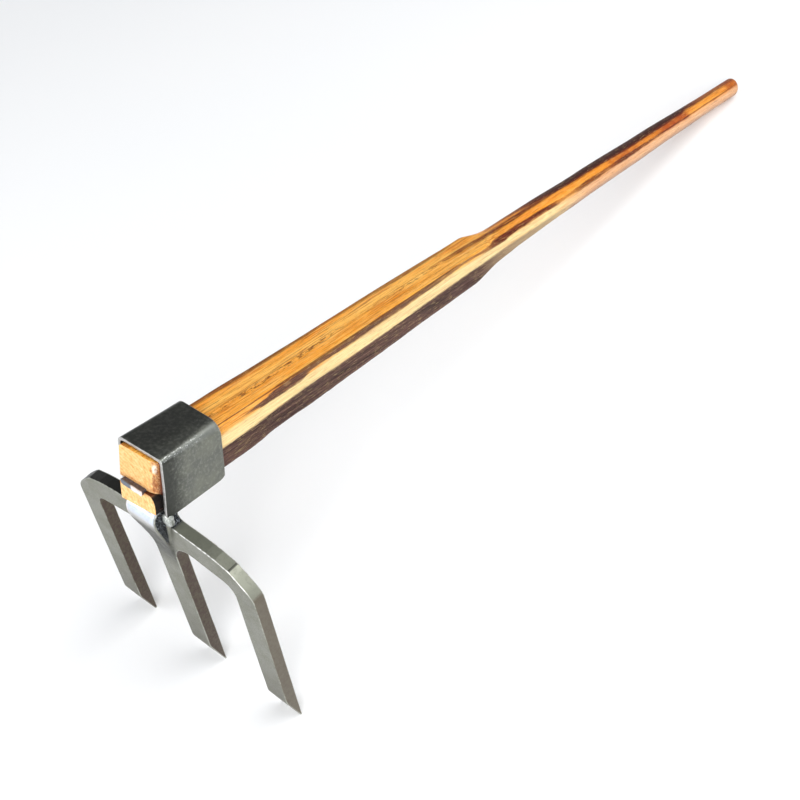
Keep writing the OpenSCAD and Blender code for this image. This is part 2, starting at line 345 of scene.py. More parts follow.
def cut_side():
    """Side view of a tine, [s, k]: flat, with the chisel bevel cut into its front face."""
    s0 = TINE_LEN - BEVEL
    return [(-60, 0), (s0 - 3, 0), (s0 - 0.6, 0.12), (s0 + 2.4, 0.78), (TINE_LEN, PLATE - TIP_T), (TINE_LEN + 0.4, PLATE), (-60, PLATE)]


def neck_side():
    lt = TONGUE_TOP
    front = spline([(8, lt), (1, lt), (-4, lt - 0.6), (-7.5, lt - 2.5), (-9.4, lt - 5.8), (-9.8, lt - 9.8), (-8.7, lt - 15.6),
                    (-5.4, lt - 24), (-0.6, lt - 34.5), (4.3, lt - 46), (8.9, lt - 58), (12, lt - 66)], 5)
    rear = [(FORK_Y + PLATE * CL + 2.5, FORK_Z - 22)]
    rear += spline([(FORK_Y + PLATE * CL + 0.8, FORK_Z - 8), (FORK_Y + PLATE * CL + 0.6, STRAP_FLOOR - 5.5),
                    (FORK_Y + PLATE * CL + 1.6, STRAP_FLOOR - 2.2), (FORK_Y + PLATE * CL + 4.5, STRAP_FLOOR - 0.3),
                    (FORK_Y + PLATE * CL + 9, STRAP_FLOOR)], 5)
    return [(54, lt)] + front + rear + [(54, STRAP_FLOOR)]


outline2 = polygon(fork_outline())
side2 = polygon(cut_side())
neck2 = polygon(neck_side())
neck_front2 = polygon([(-40, TONGUE_TOP + 20), (18.3, TONGUE_TOP + 20), (18.3, TONGUE_TOP - 13), (17.9, TONGUE_TOP - 19), (16.2, TONGUE_TOP - 27),
                       (13.6, TONGUE_TOP - 37), (11.4, TONGUE_TOP - 49), (9.5, TONGUE_TOP - 66), (-40, TONGUE_TOP - 66)])
forge = Waves(11, 46)
ripple = Waves(12, 9)


def fork_f(x, s, k):
    ax = np.abs(x)
    short = MID_SHORT * np.clip((45 - ax) / 20, 0, 1)
    plate = round_and(outline2(ax, s), side2(s + short, k), 0.75)
    plate = round_and(plate, np.where(x < -60, s - (TINE_LEN - LEFT_SHORT), -50.0), 0.75)
    y, z = from_plate(s, k)
    # the lip is a little narrower than the tongue behind it
    nx = np.abs(x - 0.6 * np.clip((2 - y) / 6, 0, 1)) + 1.9 * np.clip((3 - y) / 8, 0, 1) * np.clip((z + 62) / 20, 0, 1)
    neck = round_and(neck2(y, z), neck_front2(nx, z + 0 * x), 1.6)
    neck = neck + np.where(y < 12, 1, 0.3) * 0.16 * ripple(x, y, z)
    d = smin(plate, neck, 2.6)
    return d - 0.12 * forge(x, s, k)


def plate_to_head(P, direction=False):
    s, k = P[:, 1], P[:, 2]
    if direction:
        return np.stack([P[:, 0], s * SL + k * CL, -s * CL + k * SL], 1)
    return np.stack([P[:, 0], FORK_Y + s * SL + k * CL, FORK_Z - s * CL + k * SL], 1)


def fork_extra(P, N):
    """cut: 1 on the plate's cut rim. lip: 1 on the forged bend under the handle's end, which the material paints with a
    highlight.
    """
    rim = np.clip(1 - np.abs(N[:, 2]) * 1.5, 0, 1)
    y, z = from_plate(P[:, 1], P[:, 2])
    proud = np.clip((-1.0 - P[:, 2]) / 1.5, 0, 1)
    on_neck = proud * np.clip((19 - np.abs(P[:, 0])) / 0.8, 0, 1)
    lip = on_neck * np.clip((z + 53) / 12, 0, 1) * np.clip(1 - np.abs(N[:, 0]) * 1.3, 0, 1)
    bev = np.clip((P[:, 1] - (TINE_LEN - BEVEL + 0.5)) / 2.0, 0, 1) * np.clip((0.985 + N[:, 2]) / 0.02, 0, 1) * (N[:, 2] < -0.5)
    return {"cut": rim, "lip": lip, "ground": bev}


g = 0.75 if FINE else 1.3
fork = sdf_piece(
    "tine_fork_forged", fork_f,
    [near(-103.0, 103.0, g),
     near(-18.0, 207.0, 3.2, (-18, 58, g), (166, 207, g)),
     near(-13.5, 56.0, 1.2, (-13.5, 12.5, 0.66 if FINE else 1.1))],
    scale=1.3, place=plate_to_head, extra=fork_extra)

# --------------------------------------------------------------- the strap
dent = Waves(21, 30)


def strap_f(x, y, z):
    xc = x + 1.0
    ax = np.abs(xc)
    t = np.clip((y + 3) / 63.0, -0.1, 1.1)
    ro = np.where(xc > 0, 4.0 + 8.0 * t, 6.0 + 2.0 * t)

    def box(w, top, r):
        qx = ax - (w - r)
        qz = z - (top - r)
        return np.sqrt(np.maximum(qx, 0) ** 2 + np.maximum(qz, 0) ** 2) + np.minimum(np.maximum(qx, qz), 0) - r
    wob = 0.16 * dent(x, y, z)
    outer = box(24.0, STRAP_TOP, ro) - wob
    inner = box(21.0, STRAP_TOP - 3.0, np.maximum(ro - 3.0, 0.8)) - wob
    # the front edge stands further forward on the left
    side = strap_side(y + 1.4 * (23 - x) / 48 * np.clip((20 - y) / 20, 0, 1), z)
    shell = round_and(outer, -inner, 0.6)
    return round_and(shell, side, 0.85)


strap_side = polygon(spline([(0.5, 60), (0.55, 30), (0.45, STRAP_TOP - 2), (0.1, 0), (-0.7, -18), (-1.5, -30)], 3)
                     + spline([(-1.8, STRAP_FLOOR + 1.2), (-1.5, STRAP_FLOOR + 0.1), (0.5, STRAP_FLOOR), (14, STRAP_FLOOR + 0.4), (30, STRAP_FLOOR + 1.1), (44, STRAP_FLOOR + 1.7),
                               (53, STRAP_FLOOR + 2.3), (56.6, STRAP_FLOOR + 4), (57.8, STRAP_FLOOR + 8), (58, 0), (58.05, 30), (58, 60)], 4))
gs = 0.62 if FINE else 1.0
strap = sdf_piece("socket_strap_bent", strap_f,
                  [near(-26.6, 24.5, gs), near(-5.0, 60.0, gs * 1.15), near(-38.0, 21.2, gs)], scale=1.2)

# --------------------------------------------------------------- the welds
bead_noise = Waves(31, 4.2)


def weld_f(side):
    rng = np.random.RandomState(40 + side)
    blobs = [((side * 20.9, 0.6, STRAP_FLOOR - 1.6), 4.3), ((side * 20.6, 2.2, STRAP_FLOOR - 6.8), 3.5),
             ((side * 22.6, -0.2, STRAP_FLOOR - 4.4), 2.7), ((side * 19.6, -1.4, STRAP_FLOOR + 1.2), 2.4)]
    y = 4.0
    while y < 45:
        lift = 1.1 + 2.4 * y / 58
        blobs.append(((side * ((19.6 if side > 0 else 20.5) + rng.uniform(-0.15, 0.15)), y, STRAP_FLOOR + lift + rng.uniform(-0.1, 0.1)), (2.4 if side > 0 else 2.55) + rng.uniform(-0.12, 0.1)))
        y += 2.6

    def f(x, yy, z):
        d = None
        for (cx, cy, cz), r in blobs:
            s = 1.0 if r > 2.65 else 0.55
            v = np.sqrt((x - cx) ** 2 + ((yy - cy) / s) ** 2 * s + (z - cz) ** 2) - r
            d = v if d is None else smin(d, v, 0.9)
        return d - 0.14 * bead_noise(x, yy, z)
    return f


welds = []
gw = 0.38 if FINE else 0.7
for side, label in ((-1, "left"), (1, "right")):
    xs = near(15.5, 26.5, gw)
    if side < 0:
        xs = -xs[::-1]
    welds.append(sdf_piece("weld_bead_" + label + "_rippled", weld_f(side),
                           [xs, near(-5.0, 49.5, gw), near(-47.5, -30.0, gw)], scale=0.9))

# ---------------------------------------------------------------- the wedge
WEDGE_X, WEDGE_W, WEDGE_T, WEDGE_LEN, KERF_Z, END_Y, WEDGE_OUT = -4.0, 23.0, 3.6, 40.0, -13.5, -6.3, 4.0
wedge_y0 = END_Y - WEDGE_OUT
wedge_side = polygon([(wedge_y0, KERF_Z - WEDGE_T / 2), (wedge_y0, KERF_Z + WEDGE_T / 2),
                      (wedge_y0 + WEDGE_LEN, KERF_Z + 0.45), (wedge_y0 + WEDGE_LEN, KERF_Z - 0.45)])
hammer = Waves(51, 7)


def wedge_f(x, y, z):
    body = round_and(wedge_side(y, z), np.abs(x - WEDGE_X) - WEDGE_W / 2, 0.35)
    head = np.clip((wedge_y0 + 4.2 - y) / 4.2, 0, 1) ** 2
    return body - head * (0.35 + 0.28 * hammer(x, y, z))


wedge = sdf_piece("head_wedge_driven", wedge_f,
                  [near(-17.2, 9.2, 0.42 if FINE else 0.8), near(-12.6, 30.2, 0.5 if FINE else 0.9), near(-16.6, -10.4, 0.3 if FINE else 0.45)], scale=0.6)

# --------------------------------------------------------------- the handle
half_w = table([(-12, 19.8), (0, 19.6), (30, 18.8), (58, 18.1), (76, 17.8), (92, 17.7), (108, 17.45), (124, 17.2), (150, 16.95), (180, 16.55), (204, 16.3), (236, 15.85),
                (268, 15.5), (300, 15.1), (332, 14.75), (364, 14.35), (400, 14.3), (450, 15)])
left_w = table([(-12, 1.6), (0, 1.3), (40, 0.5), (75, 0), (450, 0)])
z_top = table([(-12, 15.9), (0, 15.8), (30, 15.1), (58, 14.2), (76, 14.0), (92, 14.0), (108, 13.8), (124, 13.6), (150, 13.65), (180, 13.75), (204, 14.0), (236, 14.35),
               (268, 14.75), (300, 14.85), (332, 14.85), (364, 14.7), (400, 14.7), (450, 14.7)])
z_low = table([(-12, -30.45), (76, -30.4), (92, -29.8), (102, -29.2), (110, -27.6), (122, -26.7), (140, -26.3), (160, -26.8), (180, -26.3), (204, -25.3), (236, -24.6),
               (268, -23.6), (300, -22.3), (332, -21.6), (364, -20.7), (400, -20), (450, -19)])
corner = table([(-12, 3.4), (50, 3.3), (66, 2.6), (84, 1.9), (330, 1.9), (450, 2.4)])
axis_z = table([(-12, -2.0), (372, -2.0), (400, -1.8), (430, -1.5), (460, -1.35), (480, -0.9), (500, -0.5), (540, -0.4), (560, 0.0), (580, 0.45), (620, 0.6), (660, 0.5),
                (690, 0.85), (720, 0.9), (750, 0.6), (780, 0.8), (810, 0.55), (840, 0.45), (866, 0.2)])
# radius the lathe left, on the upper left and on the lower right
turn_a = table([(-12, 60), (362, 60), (368, 34), (376, 28), (386, 22.6), (394, 19.6), (400, 18.0), (406, 16.6), (413, 15.4), (420, 14.8), (430, 14.6), (445, 14.5), (460, 14.45)])
turn_b = table([(-12, 60), (362, 60), (366, 33), (372, 26.6), (380, 23.2), (388, 21.4), (396, 19.8), (404, 18.3), (412, 17.2), (424, 16.4), (436, 15.8), (448, 15.1), (460, 14.7)])
turn_r = table([(-12, 15), (440, 14.95), (460, 14.6), (480, 14.3), (500, 13.95), (520, 13.6), (540, 13.3), (560, 13.0), (580, 12.85), (600, 12.6), (630, 12.2), (660, 11.9),
                (690, 11.6), (720, 11.1), (750, 10.7), (770, 10.4), (790, 10.1), (810, 9.95), (840, 9.95), (866, 10.0)])
HANDLE_LEN = 866.0
waney = Waves(61, 42, 10, (0.45, 3.2, 0.45))
chips = Waves(62, 16, 10, (0.7, 1.0, 0.7))


def section(y, th):
    """Radius of the handle about its turned axis, at angle th from +x towards +z."""
    yy = np.minimum(y, 449.0)
    left = left_w(yy) * np.clip(-np.cos(th) * 3, 0, 1)
    w, t, b, c = half_w(yy) + left, z_top(yy), z_low(yy), axis_z(y)
    rc = corner(yy)
    bz, hz = (t + b) / 2 - c, (t - b) / 2
    dx, dz = np.cos(th), np.sin(th)
    lo = np.zeros(np.broadcast(y, th).shape)
    hi = lo + 70
    for _ in range(26):
        m = (lo + hi) / 2
        px, pz = np.abs(m * dx) - (w - rc), np.abs(m * dz - bz) - (hz - rc)
        d = np.hypot(np.maximum(px, 0), np.maximum(pz, 0)) + np.minimum(np.maximum(px, pz), 0) - rc
        hi, lo = np.where(d > 0, m, hi), np.where(d > 0, lo, m)
    box = (lo + hi) / 2
    mixv = 0.5 - 0.5 * np.cos(th - 2.36)
    R = turn_a(yy) * (1 - mixv) + turn_b(yy) * mixv
    late = np.clip((y - 436) / 24, 0, 1)
    r = smin(R, box, 1.2 * np.clip((y - 300) / 40, 0, 1) + 1e-6)
    r = r * (1 - late) + turn_r(y) * late
    x, z = r * dx, r * dz
    lump = 0.22 * waney(x, y, z)
    low = np.clip((-z - 18) / 6, 0, 1) * np.clip((y - 66) / 12, 0, 1) * np.clip((360 - y) / 30, 0, 1)
    return r + lump * np.clip((y - 60) / 20, 0, 1) - low * 0.25 * (1 + chips(x, y, z))


def handle_mesh():
    n = 176 if FINE else 96
    base = np.linspace(0, 2 * math.pi, n, endpoint=False)
    # closer points where the square part's corners run
    th = base + 0.0
    for c in (0.70, 2.44, 4.17, 5.25):
        d = (base - c + math.pi) % (2 * math.pi) - math.pi
        th -= 0.10 * np.sin(d) * np.exp(-(d / 0.35) ** 2)
    th = np.sort(th)
    step = 3.2 if FINE else 7.0
    back = list(np.arange(6, HANDLE_LEN - 12, step)) + [HANDLE_LEN - 10, HANDLE_LEN - 8]
    rings = []
    for t, inset in ((0, 1.5), (0.12, 0.9), (0.45, 0.42), (1.0, 0.12), (1.9, 0), (3.6, 0)):
        rings.append((t, inset, None))
    for t in back:
        rings.append((t, 0, None))
    # the butt's edge is rounded more on the lower right
    BR = 1.8 + 4.6 * (0.5 + 0.5 * np.cos(th + 0.77)) ** 1.5
    for a in np.linspace(0, math.pi / 2, 10)[1:]:
        rings.append((HANDLE_LEN, 0, a))
    P, F = [], []
    for t, inset, a in rings:
        y = np.full(n, float(t))
        if a is not None:
            y = HANDLE_LEN - BR + BR * math.sin(a)
            inset = BR * (1 - math.cos(a))
        r = section(np.maximum(y, 0.0), th)
        z = (r - inset) * np.sin(th) + axis_z(y)
        x = (r - inset) * np.cos(th)
        # the rings are drawn out in front, where the end is then sawn off
        y = y - 14 * np.clip(1 - t / 40, 0, 1)
        # the butt's face is a little askew
        y = y + np.clip((y - HANDLE_LEN + 30) / 30, 0, 1) * (0.085 * (z - x) + 0.7)
        P.append(np.stack([x, y, z], 1))
    m = len(P)
    P = np.concatenate(P)
    idx = np.arange(n)
    nxt = (idx + 1) % n
    for k in range(m - 1):
        a, b = k * n, (k + 1) * n
        F += [(a + i, b + i, b + j, a + j) for i, j in zip(idx.tolist(), nxt.tolist())]
    # caps: rings of quads closing on a middle point
    P = [P]
    count = m * n
    for first, sign in ((0, 1), ((m - 1) * n, -1)):
        ring = np.arange(first, first + n)
        pts = P[0][ring]
        mid = pts.mean(0)
        prev = ring
        for f in (0.82, 0.62, 0.42, 0.22):
            q = mid + (pts - mid) * f
            P.append(q)
            cur = np.arange(count, count + n)
            count += n
            for i, j in zip(idx.tolist(), nxt.tolist()):
                quad = (int(prev[i]), int(prev[j]), int(cur[j]), int(cur[i]))
                F.append(quad if sign > 0 else quad[::-1])
            prev = cur
        P.append(mid[None, :])
        for i, j in zip(idx.tolist(), nxt.tolist()):
            tri = (int(prev[i]), int(prev[j]), count)
            F.append(tri if sign > 0 else tri[::-1])
        count += 1
    return np.concatenate(P), F


P, F = handle_mesh()
handle = build("handle_turned", P, F)


def cutter(name, pts):
    """A closed box from eight millimetre points, bottom four then top four."""
    faces = [(0, 3, 2, 1), (4, 5, 6, 7), (0, 1, 5, 4), (1, 2, 6, 5), (2, 3, 7, 6), (3, 0, 4, 7)]
    return build(name, np.array(pts, float), faces)


# saw kerf across the end, and the wider slot that the wedge has opened
kz, wz = 0.6, WEDGE_T / 2 + 0.02
y0, y1 = wedge_y0 - 6, wedge_y0 + WEDGE_LEN + 0.2
grow = (0.45 - wz) / (WEDGE_LEN)
za = wz - grow * 6
zb = 0.47
xl, xr = WEDGE_X - WEDGE_W / 2 - 0.05, WEDGE_X + WEDGE_W / 2 + 0.05
kerf = cutter("kerf_tool", [(-30, -30, KERF_Z - kz), (30, -30, KERF_Z - kz), (30, 48, KERF_Z - kz), (-30, 48, KERF_Z - kz),
                            (-30, -30, KERF_Z + kz), (30, -30, KERF_Z + kz), (30, 48, KERF_Z + kz), (-30, 48, KERF_Z + kz)])
slot = cutter("slot_tool", [(xl, y0, KERF_Z - za), (xr, y0, KERF_Z - za), (xr, y1, KERF_Z - zb), (xl, y1, KERF_Z - zb),
                            (xl, y0, KERF_Z + za), (xr, y0, KERF_Z + za), (xr, y1, KERF_Z + zb), (xl, y1, KERF_Z + zb)])


def prism(name, low, high):
    """A closed prism between two outlines of head-frame points."""
    k = len(low)
    faces = [tuple(range(k))[::-1], tuple(range(k, 2 * k))] + [(i, (i + 1) % k, (i + 1) % k + k, i + k) for i in range(k)]
    return build(name, np.array(list(low) + list(high), float), faces)


def slab(name, plan, z0, z1, back=0.0):
    """plan is an outline [x, y], anticlockwise; its upper end can stand further back."""
    return prism(name, [(px, py, z0) for px, py in plan], [(px, py + back, z1) for px, py in plan])


# the end above the kerf is sawn askew; below it the wood stands forward and is pared narrower
upper = slab("upper_tool", [(-60, -60), (60, -60), (60, 6.0), (20.5, 0.6), (18.6, -1.4), (15.6, -3.6), (11.0, -5.2), (-21, -6.4), (-60, -7.6)], KERF_Z, 40, 5.6)
lower_l = slab("lower_left_tool", [(-60, -60), (-17.4, -60), (-16.8, -10), (-17.3, -5), (-19.4, 0.5), (-22.4, 4), (-60, 4)], -60, KERF_Z)
lower_r = slab("lower_right_tool", [(60, 4), (20.4, 4), (19.4, 0), (18.3, -4.5), (18.0, -8), (18.3, -60), (60, -60)], -60, KERF_Z)
ends = [(12.0, KERF_Z + 0.2), (14.6, -14.9), (16.6, -17.6), (17.7, -21), (18.2, -27), (60, -27), (60, KERF_Z + 0.2)]
ends.reverse()
nose = prism("nose_tool", [(px, -60, pz) for px, pz in ends], [(px, -0.8, pz) for px, pz in ends])
front = [(px, -8.4 + 0.09 * px + 0.05 * (pz + 14)) for px in (60, -60) for pz in (-60, 60)]
front = prism("front_tool", [(-60, -60, -60), (60, -60, -60), (60, front[0][1], -60), (-60, front[2][1], -60)],
              [(-60, -60, 60), (60, -60, 60), (60, front[1][1], 60), (-60, front[3][1], 60)])
tools = [front, upper, lower_l, lower_r, nose, kerf, slot]
for tool in tools:
    mod = handle.modifiers.new("cut", "BOOLEAN")
    mod.operation, mod.solver, mod.object = "DIFFERENCE", "EXACT", tool
dg = bpy.context.evaluated_depsgraph_get()
cut_mesh = bpy.data.meshes.new_from_object(handle.evaluated_get(dg))
handle.modifiers.clear()
handle.data = cut_mesh
for tool in tools:
    bpy.data.objects.remove(tool)
bm = bmesh.new()
bm.from_mesh(handle.data)
bmesh.ops.remove_doubles(bm, verts=bm.verts, dist=1e-6)
bmesh.ops.dissolve_degenerate(bm, edges=bm.edges, dist=1e-7)
for e in bm.edges:
    e.smooth = not (len(e.link_faces) == 2 and e.calc_face_angle(0) > math.radians(50))
for f in bm.faces:
    f.smooth = True
bm.to_mesh(handle.data)
bm.free()


# ============================================================== materials
class Tree:
    """Short ways to write a node tree."""

    def __init__(self, name, head=True):
        self.mat = bpy.data.materials.new(name)
        self.mat.use_nodes = True
        self.nt = self.mat.node_tree
        self.nt.nodes.clear()
        self.out = self.nt.nodes.new("ShaderNodeOutputMaterial")
        self.bsdf = self.nt.nodes.new("ShaderNodeBsdfPrincipled")
        self.nt.links.new(self.bsdf.outputs[0], self.out.inputs[0])
        tc = self.nt.nodes.new("ShaderNodeTexCoord")
        at, self.normal = tc.outputs["Object"], tc.outputs["Normal"]
        if head:
            # patterns are drawn in the head frame, square to the handle
            at = self.turned(self.vmath("SUBTRACT", at, tuple(T.translation)))
            self.normal = self.turned(self.normal)
        self.vec = self.vmath("SCALE", at, scale=1000.0)
        sep = self.nt.nodes.new("ShaderNodeSeparateXYZ")
        self.nt.links.new(self.vec, sep.inputs[0])
        self.x, self.y, self.z = sep.outputs

    def turned(self, v):
        rows = T.to_3x3().transposed()
        c = self.nt.nodes.new("ShaderNodeCombineXYZ")
        for k in range(3):
            m = self.nt.nodes.new("ShaderNodeVectorMath")
            m.operation = "DOT_PRODUCT"
            self.put(m.inputs[0], v)
            m.inputs[1].default_value = tuple(rows[k])
            self.nt.links.new(m.outputs["Value"], c.inputs[k])
        return c.outputs[0]

    def put(self, socket, value):
        if isinstance(value, bpy.types.NodeSocket):
            self.nt.links.new(value, socket)
        elif hasattr(value, "__len__"):
            n = len(socket.default_value)
            v = list(value) + [1.0] * (n - len(value))
            socket.default_value = v[:n]
        else:
            socket.default_value = value

    def math(self, op, a, b=0.0, c=0.0, clamp=False):
        m = self.nt.nodes.new("ShaderNodeMath")
        m.operation, m.use_clamp = op, clamp
        for s, v in zip(m.inputs, (a, b, c)):
            self.put(s, v)
        return m.outputs[0]

    def add(self, a, b):
        return self.math("ADD", a, b)

    def sub(self, a, b):
        return self.math("SUBTRACT", a, b)

    def mul(self, a, b):
        return self.math("MULTIPLY", a, b)

    def vmath(self, op, a, b=None, scale=None):
        m = self.nt.nodes.new("ShaderNodeVectorMath")
        m.operation = op
        self.put(m.inputs[0], a)
        if b is not None:
            self.put(m.inputs[1], b)
        if scale is not None:
            m.inputs["Scale"].default_value = scale
        return m.outputs[0]

    def stretch(self, sx, sy, sz, offset=(0, 0, 0)):
        v = self.vmath("MULTIPLY", self.vec, (sx, sy, sz))
        return self.vmath("ADD", v, offset) if any(offset) else v

    def noise(self, vec, scale=1.0, detail=3.0, rough=0.5, distortion=0.0):
        m = self.nt.nodes.new("ShaderNodeTexNoise")
        self.put(m.inputs["Vector"], vec)
        m.inputs["Scale"].default_value = scale
        m.inputs["Detail"].default_value = detail
        m.inputs["Roughness"].default_value = rough
        m.inputs["Distortion"].default_value = distortion
        return m.outputs[0]

    def voronoi(self, vec, scale=1.0, feature="F1"):
        m = self.nt.nodes.new("ShaderNodeTexVoronoi")
        m.feature = feature
        self.put(m.inputs["Vector"], vec)
        m.inputs["Scale"].default_value = scale
        return m.outputs["Distance"]

    def span(self, v, a, b, c=0.0, d=1.0, smooth=True):
        """Maps v from a..b to c..d, clamped."""
        m = self.nt.nodes.new("ShaderNodeMapRange")
        m.clamp = True
        if smooth:
            m.interpolation_type = "SMOOTHSTEP"
        for s, x in zip(m.inputs, (v, a, b, c, d)):
            self.put(s, x)
        return m.outputs[0]

    def curve(self, points, v=None, lo=-12.0, hi=866.0, vmin=None, vmax=None):
        """A value that follows (y, value) points along the handle."""
        v = self.y if v is None else v
        ys = [p[1] for p in points]
        a, b = min(ys), max(ys)
        if b - a < 1e-6:
            b = a + 1
        u = self.span(v, lo, hi, smooth=False)
        m = self.nt.nodes.new("ShaderNodeFloatCurve")
        c = m.mapping.curves[0]
        f = table([((p[0] - lo) / (hi - lo), (p[1] - a) / (b - a)) for p in points]) if len(points) > 2 else None
        while len(c.points) > 2:
            c.points.remove(c.points[1])
        first, last = points[0], points[-1]
        c.points[0].location = (0.0, (first[1] - a) / (b - a))
        c.points[1].location = (1.0, (last[1] - a) / (b - a))
        for p in points:
            t = (p[0] - lo) / (hi - lo)
            if 1e-4 < t < 1 - 1e-4:
                c.points.new(t, (p[1] - a) / (b - a))
        for p in c.points:
            p.handle_type = "AUTO_CLAMPED"
        m.mapping.update()
        self.put(m.inputs["Value"], u)
        return self.math("MULTIPLY_ADD", m.outputs[0], b - a, a)

    def mix(self, fac, a, b, mode="MIX"):
        m = self.nt.nodes.new("ShaderNodeMix")
        m.data_type, m.blend_type = "RGBA", mode
        self.put(m.inputs[0], fac)
        self.put(m.inputs[6], a)
        self.put(m.inputs[7], b)
        return m.outputs[2]

    def attr(self, name):
        m = self.nt.nodes.new("ShaderNodeAttribute")
        m.attribute_name = name
        return m.outputs["Fac"]

    def bump(self, height, strength, distance, normal=None):
        m = self.nt.nodes.new("ShaderNodeBump")
        m.inputs["Strength"].default_value = strength
        m.inputs["Distance"].default_value = distance
        self.put(m.inputs["Height"], height)
        if normal is not None:
            self.put(m.inputs["Normal"], normal)
        return m.outputs[0]

    def set(self, **values):
        for key, v in values.items():
            self.put(self.bsdf.inputs[key.replace("_", " ")], v)


def rgb(r, g, b, k=1.0):
    """sRGB 0 to 255 to linear."""
    out = []
    for c in (r, g, b):
        c /= 255
        out.append(k * (c / 12.92 if c <= 0.04045 else ((c + 0.055) / 1.055) ** 2.4))
    return tuple(out) + (1.0,)


# ------------------------------------------------------------------- wood
def wood_material():
    t = Tree("burnt_wood")
    # q runs across the stick on the diagonal, so that every stripe passes through the solid
    q0 = t.add(t.mul(t.x, 0.719), t.mul(t.z, -0.695))
    fibre = t.noise(t.stretch(0.9, 0.018, 0.9), 1.0, 5, 0.62)
    slow = t.noise(t.stretch(0.05, 0.009, 0.05, (7, 3, 5)), 1.0, 2, 0.5)
    fine = t.noise(t.stretch(2.3, 0.05, 2.3, (3, 9, 1)), 1.0, 4, 0.65)
    ragged = t.noise(t.stretch(0.7, 0.12, 0.7, (1, 5, 2)), 1.0, 4, 0.6)
    q = t.add(q0, t.mul(t.sub(slow, 0.5), 1.6))
    q = t.add(q, t.mul(t.sub(fibre, 0.5), 2.6))
    q = t.add(q, t.mul(t.sub(ragged, 0.5), 1.7))

    # golden ground, with slow changes in warmth
    warm = t.noise(t.stretch(0.12, 0.006, 0.12, (4, 4, 4)), 1.0, 3, 0.6)
    base = t.mix(t.span(warm, 0.35, 0.68), rgb(250, 188, 88), rgb(242, 156, 44))
    deep = t.noise(t.stretch(0.5, 0.022, 0.5, (9, 1, 6)), 1.0, 4, 0.6)
    base = t.mix(t.mul(t.span(deep, 0.50, 0.66), 0.62), base, rgb(196, 98, 20))
    pale = t.noise(t.stretch(0.45, 0.014, 0.45, (2, 8, 3)), 1.0, 4, 0.6)
    base = t.mix(t.mul(t.span(pale, 0.54, 0.68), 0.55), base, rgb(250, 208, 122))
    # long thin fibres, dark and pale, which show on every face
    thread = t.noise(t.stretch(0.62, 0.011, 0.62, (11, 4, 2)), 1.0, 3, 0.55)
    thread2 = t.noise(t.stretch(1.15, 0.028, 1.15, (1, 14, 6)), 1.0, 3, 0.6)
    dark_thread = t.math("MAXIMUM", t.span(thread, 0.555, 0.62), t.mul(t.span(thread2, 0.56, 0.64), 0.8))
    base = t.mix(t.mul(dark_thread, 0.5), base, rgb(138, 54, 6))
    base = t.mix(t.mul(t.span(thread2, 0.44, 0.36), 0.45), base, rgb(255, 206, 112))
    # on the grip the ground turns orange, then reddish in patches
    grip = t.span(t.y, 400, 470)
    base = t.mix(t.mul(grip, 0.55), base, rgb(242, 142, 34))
    red = t.curve([(-12, 0), (560, 0), (600, 0.15), (622, 0.75), (660, 0.5), (690, 0.45), (708, 0.85), (752, 0.9), (764, 0.0), (840, 0.15), (852, 0.8), (866, 0.8)])
    patch = t.noise(t.stretch(0.09, 0.05, 0.09, (6, 2, 8)), 1.0, 3, 0.6)
    base = t.mix(t.mul(red, t.span(patch, 0.3, 0.6, 0.55, 1.0)), base, rgb(168, 62, 14))

    # cream band along the right side, and its lower limit at the dark band
    e1 = t.curve([(-12, 12.5), (63, 11), (110, 10), (160, 8.2), (210, 7.0), (290, 5.4), (350, 4.6), (400, 4.4), (440, 3.8), (500, 3.4), (560, 3.8), (620, 2.8), (680, 2.1), (760, 1.8), (866, 1.6)])
    cream = t.span(t.sub(q, e1), -1.6, 1.4)
    late = t.span(t.y, 490, 570)
    cream_col = t.mix(late, rgb(242, 216, 154), rgb(232, 178, 132))
    cream_col = t.mix(t.mul(t.span(deep, 0.48, 0.68), 0.42), cream_col, rgb(226, 160, 96))
    cream_col = t.mix(t.mul(dark_thread, 0.3), cream_col, rgb(186, 116, 66))
    cream_col = t.mix(t.mul(t.span(thread2, 0.42, 0.34), 0.4), cream_col, rgb(252, 234, 186))
    # towards the butt its lower side is painted grey-brown: painted shade along the lower edge
    painted_lower_shade_edge = t.curve([(-12, 20), (500, 20), (530, 10.5), (600, 9.0), (680, 8.2), (740, 7.2), (866, 7.5)])
    cream_col = t.mix(t.mul(t.span(t.sub(q, painted_lower_shade_edge), -1.5, 3.0), 0.8), cream_col, rgb(158, 124, 106))
    base = t.mix(cream, base, cream_col)

    # dark lower band
    f1 = t.curve([(-12, 22.3), (63, 19.8), (100, 18.6), (130, 17.1), (160, 15.8), (200, 15.3), (250, 14.8), (300, 13.3), (350, 12.2), (400, 11.3), (440, 10.1), (480, 9.7), (515, 9.6), (540, 11.5), (570, 15), (866, 18)])
    dark_on = t.span(t.sub(q, f1), -0.7, 0.9)
    dark_fade = t.curve([(-12, 1), (370, 1), (410, 0.85), (450, 0.72), (500, 0.55), (530, 0.3), (570, 0), (866, 0)])
    streak = t.noise(t.stretch(0.55, 0.012, 0.55, (5, 5, 0)), 1.0, 5, 0.65)
    dark_col = t.mix(t.span(streak, 0.38, 0.62), rgb(50, 28, 24), rgb(92, 64, 56))
    dark_col = t.mix(t.mul(t.span(thread2, 0.55, 0.64), 0.55), dark_col, rgb(26, 14, 12))
    dark_col = t.mix(t.mul(t.span(thread, 0.43, 0.36), 0.3), dark_col, rgb(136, 96, 80))
    dark_col = t.mix(t.span(t.y, 380, 430), dark_col, rgb(118, 92, 78))
    # painted sheen: the dark band's lower edge is lightened grey, a painted reflection of the floor
    painted_edge_sheen = t.mul(t.span(t.sub(q, f1), 9, 15), t.span(t.y, 150, 330))
    dark_col = t.mix(t.mul(painted_edge_sheen, 0.4), dark_col, rgb(140, 118, 110))
    base = t.mix(t.mul(dark_on, dark_fade), base, dark_col)

